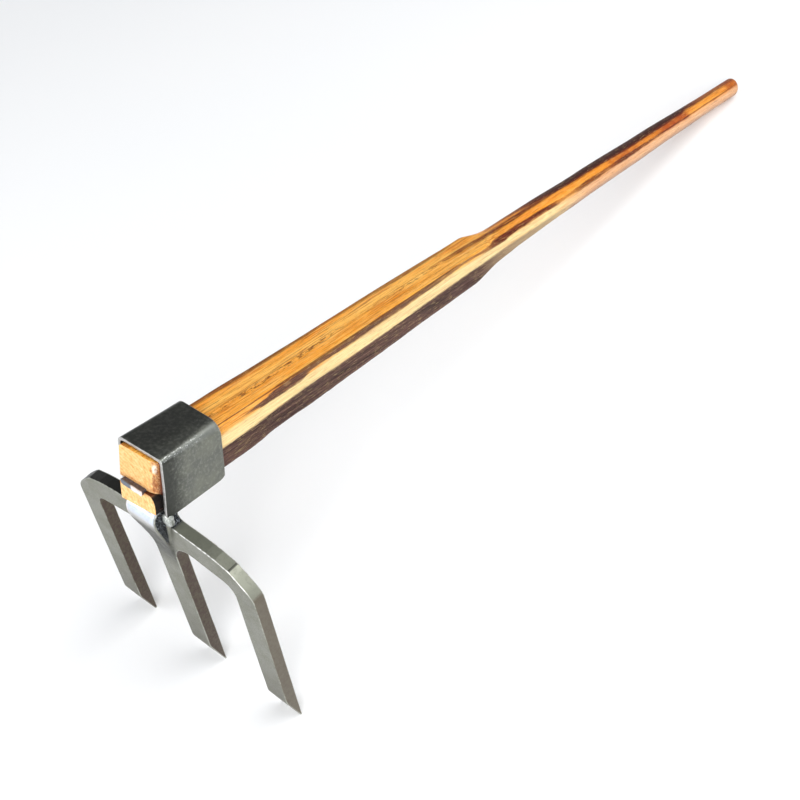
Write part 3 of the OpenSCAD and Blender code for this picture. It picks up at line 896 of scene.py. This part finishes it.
    # wandering dark streak below the upper right edge
    d1 = t.curve([(-12, 9), (60, 8.4), (95, 6.6), (110, 5.2), (130, 3.4), (165, 3.1), (200, 2.5), (240, 1.8), (280, 1.6), (320, 1.3), (350, 0.8), (370, 0.4), (385, 1.0),
                  (400, 0.4), (412, -1.6), (430, -1.9), (460, -1.4), (490, -0.7), (506, 0.3), (522, 0.7), (545, 0.0), (580, -0.8), (600, -0.5), (620, -1.2), (700, -0.6), (866, -0.7)])
    d2 = t.curve([(-12, 9.6), (60, 9.2), (95, 8.8), (112, 10.2), (148, 9.6), (158, 7.4), (170, 6.8), (200, 6.7), (240, 6.2), (280, 5.4), (320, 4.8), (350, 3.4), (370, 2.6), (385, 4.0),
                  (402, 4.9), (420, 5.0), (432, 4.0), (460, 3.7), (490, 3.3), (506, 4.2), (522, 3.0), (545, 3.9), (562, 4.3), (585, 3.6), (605, 3.2), (625, 3.6), (660, 2.6), (700, 1.7), (750, 1.5), (800, 1.0), (866, 0.8)])
    s_d = t.curve([(-12, 0.25), (60, 0.35), (88, 0.5), (105, 0.95), (150, 0.97), (162, 0.9), (200, 0.95), (300, 0.9), (340, 0.75), (365, 0.75), (385, 0.65), (403, 0.9), (430, 1.0), (485, 1.0), (506, 0.95),
                   (521, 0.5), (545, 0.75), (572, 0.9), (600, 0.75), (620, 0.95), (660, 0.9), (700, 0.8), (742, 0.85), (752, 1.0), (766, 0.5), (800, 0.8), (850, 0.6), (866, 0.4)])
    band = t.mul(t.span(t.sub(q, d1), -0.5, 0.9), t.span(t.sub(d2, q), -0.5, 0.9))
    blotch = t.noise(t.stretch(0.35, 0.05, 0.35, (8, 8, 2)), 1.0, 4, 0.65)
    band = t.mul(t.mul(band, s_d), t.span(blotch, 0.28, 0.5, 0.7, 1.0))
    st_col = t.mix(t.span(fine, 0.35, 0.7), rgb(48, 18, 14), rgb(88, 42, 30))
    st_col = t.mix(t.span(t.y, 360, 400), st_col, t.mix(t.span(fine, 0.35, 0.7), rgb(60, 12, 2), rgb(120, 44, 8)))
    st_col = t.mix(t.mul(t.span(thread2, 0.47, 0.38), 0.45), st_col, rgb(160, 96, 66))
    base = t.mix(band, base, st_col)

    # fine dark line on the upper right edge
    c1 = t.curve([(-12, 3.3), (60, 3.1), (120, 2.9), (160, 2.6), (210, 2.1), (260, 1.5), (320, 1.1), (345, 0.7), (380, 0.3), (866, 0)])
    w1 = t.curve([(-12, 0.35), (60, 0.35), (118, 0.4), (132, 0.8), (325, 0.7), (350, 0.35), (375, 0.05), (866, 0.05)])
    q_tight = t.add(q0, t.mul(t.sub(fibre, 0.5), 0.9))
    line = t.span(t.sub(w1, t.math("ABSOLUTE", t.sub(q_tight, c1))), -0.35, 0.25)
    line = t.mul(line, t.span(t.y, 350, 385, 0.85, 0.0))
    base = t.mix(line, base, rgb(70, 30, 14))

    # flecked line along the top face, which becomes a burnt streak at the shoulder
    b1 = t.curve([(-12, -5.0), (80, -6), (130, -7), (170, -8), (210, -9), (280, -9.5), (350, -9.9), (385, -9.6), (412, -8.3), (470, -8.5), (520, -9), (866, -9)])
    wb = t.curve([(-12, 1.0), (80, 1.1), (130, 1.3), (200, 1.3), (240, 0.9), (280, 0.9), (330, 1.1), (370, 1.5), (400, 1.6), (460, 1.7), (520, 1.7), (866, 1.7)])
    sb = t.curve([(-12, 0.5), (80, 0.8), (190, 0.85), (215, 0.35), (255, 0.3), (285, 0.55), (330, 0.7), (362, 0.95), (470, 0.95), (520, 0.6), (560, 0), (866, 0)])
    fl = t.span(t.sub(wb, t.math("ABSOLUTE", t.sub(q, b1))), -0.9, 0.7)
    fleck_n = t.noise(t.stretch(0.55, 0.16, 0.55, (3, 0, 7)), 1.0, 4, 0.7)
    gate = t.math("MAXIMUM", t.span(fleck_n, 0.46, 0.6), t.span(t.y, 340, 375))
    splits = t.sub(1.0, t.mul(t.mul(t.span(t.y, 300, 345), t.span(thread2, 0.5, 0.42)), 0.4))
    base = t.mix(t.mul(t.mul(t.mul(fl, sb), gate), splits), base, rgb(92, 22, 2))
    # a second, faint line nearer the edge
    b2 = t.span(t.sub(0.6, t.math("ABSOLUTE", t.add(q, 4.0))), -0.7, 0.5)
    b2 = t.mul(t.mul(b2, t.span(fleck_n, 0.42, 0.62)), t.mul(t.span(t.y, 235, 270), t.span(t.y, 440, 395)))
    base = t.mix(t.mul(b2, 0.5), base, rgb(150, 70, 14))

    # burnt upper left edge, broad and nearly black along the grip
    a1 = t.curve([(-12, -18.6), (100, -18.5), (250, -18.2), (300, -17.2), (360, -17.2), (395, -18.5), (412, -15), (425, -12.6), (445, -11.9), (475, -10.2), (500, -8.6), (540, -6.4),
                  (600, -5.4), (640, -4.6), (700, -4.6), (750, -5.2), (762, -6.4), (790, -5.8), (830, -6.2), (866, -6.4)])
    sa = t.curve([(-12, 0.45), (60, 0.7), (120, 0.85), (260, 0.7), (330, 0.7), (372, 0.4), (400, 0.3), (425, 0.75), (460, 0.85), (510, 1.0), (760, 1.0), (800, 0.85), (866, 0.8)])
    burnt = t.mul(t.span(t.sub(a1, q), -0.8, 1.1), sa)
    a_col = t.mix(t.span(streak, 0.35, 0.7), rgb(74, 16, 4), rgb(128, 52, 22))
    a_col = t.mix(t.mul(t.span(t.sub(a1, q), 0.5, 3.2), t.span(t.y, 440, 520)), a_col, rgb(62, 22, 14))
    a_col = t.mix(t.span(t.y, 755, 800), a_col, rgb(128, 54, 18))
    base = t.mix(burnt, base, a_col)

    # open pores: short dark dashes along the grain
    pores = t.noise(t.stretch(1.5, 0.11, 1.5, (2, 2, 9)), 1.0, 3, 0.7)
    pore = t.span(pores, 0.555, 0.64)
    base = t.mix(t.mul(pore, 0.46), base, t.mix(0.72, base, rgb(84, 34, 8)))
    base = t.mix(t.mul(t.span(pores, 0.43, 0.36), 0.22), base, rgb(255, 222, 150))
    base = t.mix(t.span(fine, 0.3, 0.75, 0.0, 0.2), base, rgb(120, 60, 20), "MULTIPLY")

    # sawn end: pale orange rings, with painted shadow in the kerf's mouth and painted shade on the kerf's walls
    nsep = t.nt.nodes.new("ShaderNodeSeparateXYZ")
    t.nt.links.new(t.normal, nsep.inputs[0])
    facing = t.math("ABSOLUTE", nsep.outputs[1])
    end = t.mul(t.span(facing, 0.55, 0.85), t.span(t.y, 30, 10))
    ringv = t.vmath("ADD", t.stretch(1, 0.0, 1), (26, 0, 30))
    dist = t.vmath("LENGTH", ringv)
    ln = t.nt.nodes.new("ShaderNodeVectorMath")
    ln.operation = "LENGTH"
    t.nt.links.new(ringv, ln.inputs[0])
    wob = t.noise(t.stretch(0.16, 0, 0.16), 1.0, 3, 0.6)
    ring = t.math("SINE", t.mul(t.add(ln.outputs["Value"], t.mul(wob, 7.0)), 1.9))
    e_col = t.mix(t.span(ring, -0.2, 1.0, 0, 0.4), rgb(250, 206, 142), rgb(236, 156, 80))
    tuft = t.noise(t.stretch(0.2, 0, 0.34, (7, 0, 3)), 1.0, 4, 0.7)
    e_col = t.mix(t.mul(t.span(tuft, 0.52, 0.66), 0.6), e_col, rgb(226, 128, 44))
    e_col = t.mix(t.mul(t.span(tuft, 0.46, 0.36), 0.6), e_col, rgb(255, 228, 176))
    speck = t.noise(t.stretch(1.3, 0, 1.3, (4, 0, 4)), 1.0, 3, 0.7)
    e_col = t.mix(t.mul(t.span(speck, 0.56, 0.7), 0.6), e_col, rgb(196, 96, 34))
    upper = t.span(t.z, -14, -10)
    e_col = t.mix(t.mul(upper, 0.14), e_col, rgb(244, 160, 70))
    # frayed brown rim round the cut, and painted highlight spots, near white, at the upper right
    fray = t.math("MAXIMUM", t.span(t.x, 14.6, 17.2), t.span(t.z, -8.8, -11.2, 0, 0.8))
    fray = t.mul(fray, upper)
    e_col = t.mix(t.mul(fray, t.span(speck, 0.42, 0.6, 0.25, 0.8)), e_col, rgb(140, 56, 20))
    painted_highlight_spots = t.mul(t.span(t.x, 13.0, 14.6), t.mul(t.span(t.x, 17.6, 16.2), t.mul(t.span(t.z, 4, 7), t.span(t.z, 14, 11))))
    e_col = t.mix(t.mul(painted_highlight_spots, t.span(speck, 0.35, 0.5)), e_col, rgb(255, 244, 226))
    stain_n = t.noise(t.stretch(0.3, 0, 0.12, (1, 0, 6)), 1.0, 4, 0.65)
    stain = t.mul(t.span(t.x, 8.5, 14.5), t.mul(upper, t.span(stain_n, 0.42, 0.62)))
    e_col = t.mix(t.mul(stain, 0.75), e_col, rgb(120, 36, 12))
    near_kerf = t.span(t.math("ABSOLUTE", t.sub(t.z, KERF_Z)), 3.2, 1.2)
    e_col = t.mix(t.mul(near_kerf, 0.35), e_col, rgb(150, 80, 40))
    # painted shadow: near black in the kerf's mouth behind the wedge
    painted_kerf_shadow = t.mul(t.span(t.y, -5.0, -3.2), t.span(t.z, KERF_Z + 0.6, KERF_Z - 0.2))
    e_col = t.mix(painted_kerf_shadow, e_col, rgb(10, 7, 6))
    base = t.mix(end, base, e_col)
    # charred right flank inside the socket's mouth, with painted shade that makes it near black below the kerf
    charred_and_shaded_flank = t.mul(t.span(t.add(nsep.outputs[0], t.mul(t.sub(speck, 0.5), 0.5)), 0.45, 0.7), t.span(t.y, 8, 2))
    base = t.mix(t.mul(charred_and_shaded_flank, 0.95), base, t.mix(t.span(t.z, -15, -10), rgb(10, 7, 6), rgb(90, 30, 12)))
    # painted shade: dark brown on the kerf's walls
    inside = t.mul(t.span(t.math("ABSOLUTE", nsep.outputs[2]), 0.6, 0.9), t.span(t.math("ABSOLUTE", t.sub(t.z, KERF_Z)), 2.4, 2.0))
    base = t.mix(t.mul(inside, t.span(t.y, 45, 40)), base, rgb(90, 44, 20))

    rough = t.span(fine, 0.3, 0.7, 0.34, 0.52)
    rough = t.math("MAXIMUM", rough, t.mul(end, 0.72))
    shade = t.math("MAXIMUM", t.mul(dark_on, dark_fade), t.math("MAXIMUM", burnt, charred_and_shaded_flank))
    rough = t.add(rough, t.mul(shade, 0.14))
    height = t.add(t.add(t.mul(fibre, 0.6), t.mul(fine, 0.5)), t.mul(pore, -0.5))
    t.set(Base_Color=base, Roughness=rough, Normal=t.bump(height, 0.35, 0.0004))
    t.bsdf.inputs["Specular IOR Level"].default_value = 0.22
    return t.mat


# ------------------------------------------------------------------ metals
def fork_material():
    t = Tree("fork_steel")
    big = t.noise(t.stretch(0.05, 0.05, 0.05), 1.0, 4, 0.6)
    mid = t.noise(t.stretch(0.28, 0.28, 0.28, (5, 5, 5)), 1.0, 4, 0.6)
    fine = t.noise(t.stretch(1.9, 1.9, 1.9, (1, 7, 2)), 1.0, 3, 0.6)
    face = t.mix(t.span(big, 0.35, 0.65), rgb(128, 128, 118), rgb(112, 113, 98))
    face = t.mix(t.span(mid, 0.42, 0.66, 0, 0.5), face, rgb(152, 152, 142))
    face = t.mix(t.mul(t.span(fine, 0.5, 0.66), 0.4), face, rgb(74, 72, 60))
    face = t.mix(t.mul(t.span(fine, 0.42, 0.34), 0.3), face, rgb(186, 188, 178))
    # painted shade below the lip and down the neck
    neck = t.mul(t.span(t.math("ABSOLUTE", t.add(t.x, t.mul(t.sub(mid, 0.5), 10))), 19, 9), t.mul(t.span(t.z, -46, -56), t.span(t.z, -112, -84)))
    face = t.mix(t.mul(neck, 0.8), face, rgb(44, 45, 41))
    # the tines darken towards their points
    face = t.mix(t.mul(t.span(t.z, -150, -215), 0.42), face, rgb(82, 76, 64))
    rim = t.mix(t.span(mid, 0.35, 0.65), rgb(80, 71, 58), rgb(72, 57, 51))
    rim = t.mix(t.mul(t.span(fine, 0.45, 0.7), 0.35), rim, rgb(112, 106, 92))
    rim = t.mix(t.mul(t.span(t.x, 96, 100), 0.6), rim, rgb(112, 106, 92))
    # sheared top of the arms, with painted light and shade: a painted shadow makes it near black on the left, olive on
    # the right, painted brighter beyond the shoulder's corner
    nsep = t.nt.nodes.new("ShaderNodeSeparateXYZ")
    t.nt.links.new(t.normal, nsep.inputs[0])
    top = t.span(nsep.outputs[2], 0.25, 0.6)
    painted_top_light = t.mix(t.span(t.x, -30, 5), rgb(38, 38, 34), rgb(112, 114, 102))
    painted_top_light = t.mix(t.span(t.x, 78.6, 79.6), painted_top_light, rgb(150, 152, 138))
    painted_top_light = t.mix(t.mul(t.span(t.math("ABSOLUTE", t.sub(t.x, 79.3)), 1.15, 0.5), 0.85), painted_top_light, rgb(40, 38, 32))
    painted_top_light = t.mix(t.mul(t.span(mid, 0.5, 0.75), 0.35), painted_top_light, t.mix(0.5, painted_top_light, rgb(20, 20, 18)))
    rim = t.mix(top, rim, painted_top_light)
    # painted shade: near black in the crease beside the neck, with painted glints
    painted_throat_shade = t.mul(t.span(t.math("ABSOLUTE", t.x), 25, 21), t.span(t.z, -74, -66))
    painted_throat_shade_col = t.mix(t.span(fine, 0.56, 0.66), rgb(14, 16, 19), rgb(180, 188, 196))
    rim = t.mix(painted_throat_shade, rim, painted_throat_shade_col)
    col = t.mix(t.span(t.attr("cut"), 0.25, 0.75), face, rim)
    ground = t.mix(t.span(mid, 0.4, 0.6), rgb(150, 148, 140), rgb(128, 124, 114))
    col = t.mix(t.attr("ground"), col, ground)
    lip = t.attr("lip")
    # painted highlight on the lip, bluish white and pinkish white on the left; lower down, painted shade with glints
    painted_lip_light = t.mix(t.span(t.z, -44, -36), rgb(206, 206, 206), rgb(222, 232, 248))
    painted_lip_light = t.mix(t.span(t.x, -12, -16), painted_lip_light, rgb(250, 238, 240))
    low = t.span(t.add(t.z, t.add(t.mul(t.x, -0.25), t.mul(t.sub(mid, 0.5), 5))), -44, -52)
    painted_lip_light = t.mix(t.mul(low, 0.85), painted_lip_light, t.mix(t.span(fine, 0.55, 0.64), rgb(66, 69, 70), rgb(196, 202, 206)))
    col = t.mix(t.mul(lip, t.span(mid, 0.25, 0.6, 0.8, 1.0)), col, painted_lip_light)
    wear = t.mul(t.span(t.add(t.attr("edge"), t.mul(t.sub(mid, 0.5), 0.3)), 0.32, 0.58), 0.8)
    # the long front edge of the right arm carries a painted highlight, a near white line over the edge wear
    painted_arm_highlight = t.mul(t.mul(t.span(t.x, 21, 26), t.span(t.x, 99, 92)), t.span(t.z, -82, -76))
    col = t.mix(wear, col, t.mix(painted_arm_highlight, rgb(176, 178, 168), rgb(252, 252, 248)))
    rough = t.add(t.span(mid, 0.3, 0.7, 0.36, 0.5), t.mul(lip, -0.08))
    h = t.add(t.mul(fine, 0.5), t.mul(mid, 0.6))
    t.set(Base_Color=col, Roughness=rough, Normal=t.bump(h, 0.3, 0.0003))
    t.bsdf.inputs["Metallic"].default_value = 0.6
    return t.mat


def strap_material():
    t = Tree("strap_steel")
    big = t.noise(t.stretch(0.06, 0.06, 0.06, (3, 1, 1)), 1.0, 4, 0.6)
    mid = t.noise(t.stretch(0.35, 0.35, 0.35, (5, 2, 5)), 1.0, 4, 0.6)
    fine = t.noise(t.stretch(2.2, 2.2, 2.2, (1, 3, 2)), 1.0, 3, 0.6)
    nsep = t.nt.nodes.new("ShaderNodeSeparateXYZ")
    t.nt.links.new(t.normal, nsep.inputs[0])
    nx, ny, nz = nsep.outputs
    col = t.mix(t.span(big, 0.35, 0.65), rgb(98, 100, 94), rgb(112, 114, 104))
    col = t.mix(t.span(mid, 0.45, 0.72, 0, 0.5), col, rgb(146, 148, 140))
    col = t.mix(t.mul(t.span(fine, 0.52, 0.75), 0.35), col, rgb(84, 84, 76))
    # the top face is painted dark: painted shade, weaker towards the right-hand bend
    scale = t.mul(t.span(nz, 0.8, 0.985), t.mul(t.span(t.y, -1.0, 1.5), t.span(t.add(t.x, t.mul(t.sub(mid, 0.5), 9)), 17, 3, 0.55, 1.0)))
    col = t.mix(t.mul(scale, 0.82), col, t.mix(t.span(mid, 0.4, 0.7), rgb(44, 45, 43), rgb(62, 62, 58)))
    wear = t.mul(t.span(t.add(t.attr("edge"), t.mul(t.sub(mid, 0.5), 0.6)), 0.34, 0.72), 0.75)
    col = t.mix(wear, col, rgb(190, 193, 188))
    side = t.mul(t.span(nx, 0.6, 0.9), t.span(t.add(t.y, t.mul(t.sub(mid, 0.5), 16)), 24, 4))
    col = t.mix(t.mul(side, 0.85), col, rgb(40, 41, 37))
    # the front rim is painted light: partly wear, partly painted light falling from the front
    rim = t.mul(t.span(ny, -0.35, -0.8), t.span(t.y, 2.5, 1.5))
    col = t.mix(t.mul(rim, t.span(mid, 0.3, 0.6, 0.5, 0.9)), col, rgb(196, 194, 192))
    # painted highlight along the right-hand bend, with painted glints
    painted_bend_highlight = t.mul(t.span(nz, 0.35, 0.62), t.mul(t.span(nz, 0.95, 0.8), t.span(nx, 0.3, 0.5)))
    speck = t.noise(t.stretch(0.85, 0.42, 0.85, (9, 2, 4)), 1.0, 2, 0.6)
    painted_glint = t.mul(painted_bend_highlight, t.mul(t.span(speck, 0.57, 0.66), t.span(t.y, 50, 20)))
    col = t.mix(t.mul(painted_bend_highlight, 0.30), col, rgb(176, 180, 176))
    col = t.mix(painted_glint, col, rgb(238, 242, 238))
    rough = t.sub(t.span(mid, 0.3, 0.7, 0.32, 0.46), t.mul(painted_glint, 0.1))
    h = t.add(t.mul(fine, 0.5), t.mul(mid, 0.7))
    t.set(Base_Color=col, Roughness=rough, Normal=t.bump(h, 0.4, 0.0004))
    t.bsdf.inputs["Metallic"].default_value = 0.75
    return t.mat


def weld_material():
    t = Tree("weld_metal")
    mid = t.noise(t.stretch(0.7, 0.7, 0.7, (2, 2, 5)), 1.0, 4, 0.6)
    fine = t.noise(t.stretch(3.1, 3.1, 3.1), 1.0, 3, 0.6)
    col = t.mix(t.span(mid, 0.35, 0.65), rgb(150, 154, 148), rgb(204, 208, 204))
    col = t.mix(t.mul(t.span(fine, 0.5, 0.7), 0.4), col, rgb(96, 92, 84))
    t.set(Base_Color=col, Roughness=t.span(mid, 0.3, 0.7, 0.42, 0.26), Normal=t.bump(t.add(mid, fine), 0.45, 0.0004))
    t.bsdf.inputs["Metallic"].default_value = 0.85
    return t.mat


def wedge_material():
    t = Tree("wedge_steel")
    mid = t.noise(t.stretch(0.5, 0.5, 0.5, (8, 2, 5)), 1.0, 4, 0.6)
    fine = t.noise(t.stretch(2.8, 2.8, 2.8), 1.0, 3, 0.6)
    col = t.mix(t.span(mid, 0.35, 0.65), rgb(82, 74, 78), rgb(108, 104, 112))
    # the struck face turns near white towards the right
    struck = t.mul(t.span(t.y, -9.4, -10.0), t.span(t.x, -5.5, -2.5))
    col = t.mix(t.mul(struck, t.span(fine, 0.3, 0.55, 0.6, 1.0)), col, rgb(246, 240, 240))
    blue = t.mul(t.span(t.y, -9.4, -10.0), t.span(t.x, -3, -7))
    col = t.mix(t.mul(blue, 0.6), col, rgb(122, 134, 150))
    wear = t.mul(t.span(t.add(t.attr("edge"), t.mul(t.sub(mid, 0.5), 0.5)), 0.4, 0.8), 0.4)
    col = t.mix(wear, col, rgb(168, 168, 172))
    t.set(Base_Color=col, Roughness=t.span(mid, 0.3, 0.7, 0.38, 0.55), Normal=t.bump(t.add(mid, fine), 0.4, 0.0003))
    t.bsdf.inputs["Metallic"].default_value = 0.6
    return t.mat


mats = {"handle": (handle, wood_material(), "burnt_wood"), "tine_fork": (fork, fork_material(), "fork_steel"),
        "socket_strap": (strap, strap_material(), "strap_steel"), "head_wedge": (wedge, wedge_material(), "wedge_steel")}
weld_mat = weld_material()
mats["weld_bead_left"] = (welds[0], weld_mat, "weld_metal")
mats["weld_bead_right"] = (welds[1], weld_mat, "weld_metal")
for node, (ob, mat, slot_name) in mats.items():
    ob.data.transform(T)
    ob.data.update()
    ob.matrix_world = Matrix.Identity(4)
    ob.data.materials.clear()
    ob.data.materials.append(mat)
    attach(ob, "root")
    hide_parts(node)
    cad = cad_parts[node]
    cad.data.materials.clear()
    cad.data.materials.append(mat)


# ------------------------------------------------------------------ studio
def floor_material():
    t = Tree("studio_floor", head=False)
    n = t.noise(t.stretch(0.004, 0.004, 0.004), 1.0, 3, 0.5)
    t.set(Base_Color=t.mix(n, rgb(250, 250, 250), rgb(247, 248, 249)), Roughness=t.span(n, 0, 1, 0.7, 0.8))
    t.bsdf.inputs["Specular IOR Level"].default_value = 0.2
    # the cyclorama stays pale beyond the reach of the lamps
    flat = t.stretch(0.001, 0.001, 0.0)
    ln = t.nt.nodes.new("ShaderNodeVectorMath")
    ln.operation = "LENGTH"
    t.nt.links.new(flat, ln.inputs[0])
    t.bsdf.inputs["Emission Color"].default_value = (1, 1, 1, 1)
    t.nt.links.new(t.span(ln.outputs["Value"], 0.9, 3.0, 0.0, 0.8), t.bsdf.inputs["Emission Strength"])
    return t.mat


bpy.ops.mesh.primitive_grid_add(x_subdivisions=8, y_subdivisions=8, size=14, location=(0, 0, -0.0002))
floor = bpy.context.object
floor.name = "studio_floor"
floor.data.materials.append(floor_material())

world = bpy.data.worlds.new("studio")
bpy.context.scene.world = world
world.use_nodes = True
bg = world.node_tree.nodes["Background"]
bg.inputs[0].default_value = (0.93, 0.96, 1.0, 1)
wt = world.node_tree
wc = wt.nodes.new("ShaderNodeTexCoord")
ws = wt.nodes.new("ShaderNodeSeparateXYZ")
wr = wt.nodes.new("ShaderNodeMapRange")
wt.links.new(wc.outputs["Generated"], ws.inputs[0])
wt.links.new(ws.outputs[2], wr.inputs[0])
for k, v in zip((1, 2, 3, 4), (0.03, 0.22, 0.95, 0.22)):
    wr.inputs[k].default_value = v
wt.links.new(wr.outputs[0], bg.inputs[1])


def area(name, pos, target, size, power, colour=(1, 1, 1)):
    li = bpy.data.lights.new(name, "AREA")
    li.shape, li.size, li.energy, li.color = "DISK", size, power, colour
    ob = bpy.data.objects.new(name, li)
    bpy.context.scene.collection.objects.link(ob)
    ob.location = pos
    ob.rotation_euler = (Vector(target) - Vector(pos)).to_track_quat("-Z", "Y").to_euler()
    return ob


area("key", (1.9, -1.9, 1.9), (0, 0, 0.1), 2.2, 66)
area("top", (1.1, 0.8, 2.6), (0.1, 0, 0), 2.6, 62)
area("fill", (-1.6, -2.2, 1.6), (0, 0, 0.1), 2.2, 30, (0.95, 0.97, 1.0))

cam = bpy.data.cameras.new("camera")
cam.lens = 58.5
cam.sensor_width = 36.0
cam.clip_start, cam.clip_end = 0.01, 50
cam_ob = bpy.data.objects.new("camera", cam)
bpy.context.scene.collection.objects.link(cam_ob)
right = Vector((0.7594036, 0.6262926, -0.176249))
up = Vector((-0.4044128, 0.666586, 0.6261896))
back = right.cross(up)
M = Matrix((right, up, back)).transposed().to_4x4()
M.translation = (0.6083902, -0.6360476, 0.9711306)
cam_ob.matrix_world = M
bpy.context.scene.camera = cam_ob
bpy.context.scene.view_settings.view_transform = "Standard"
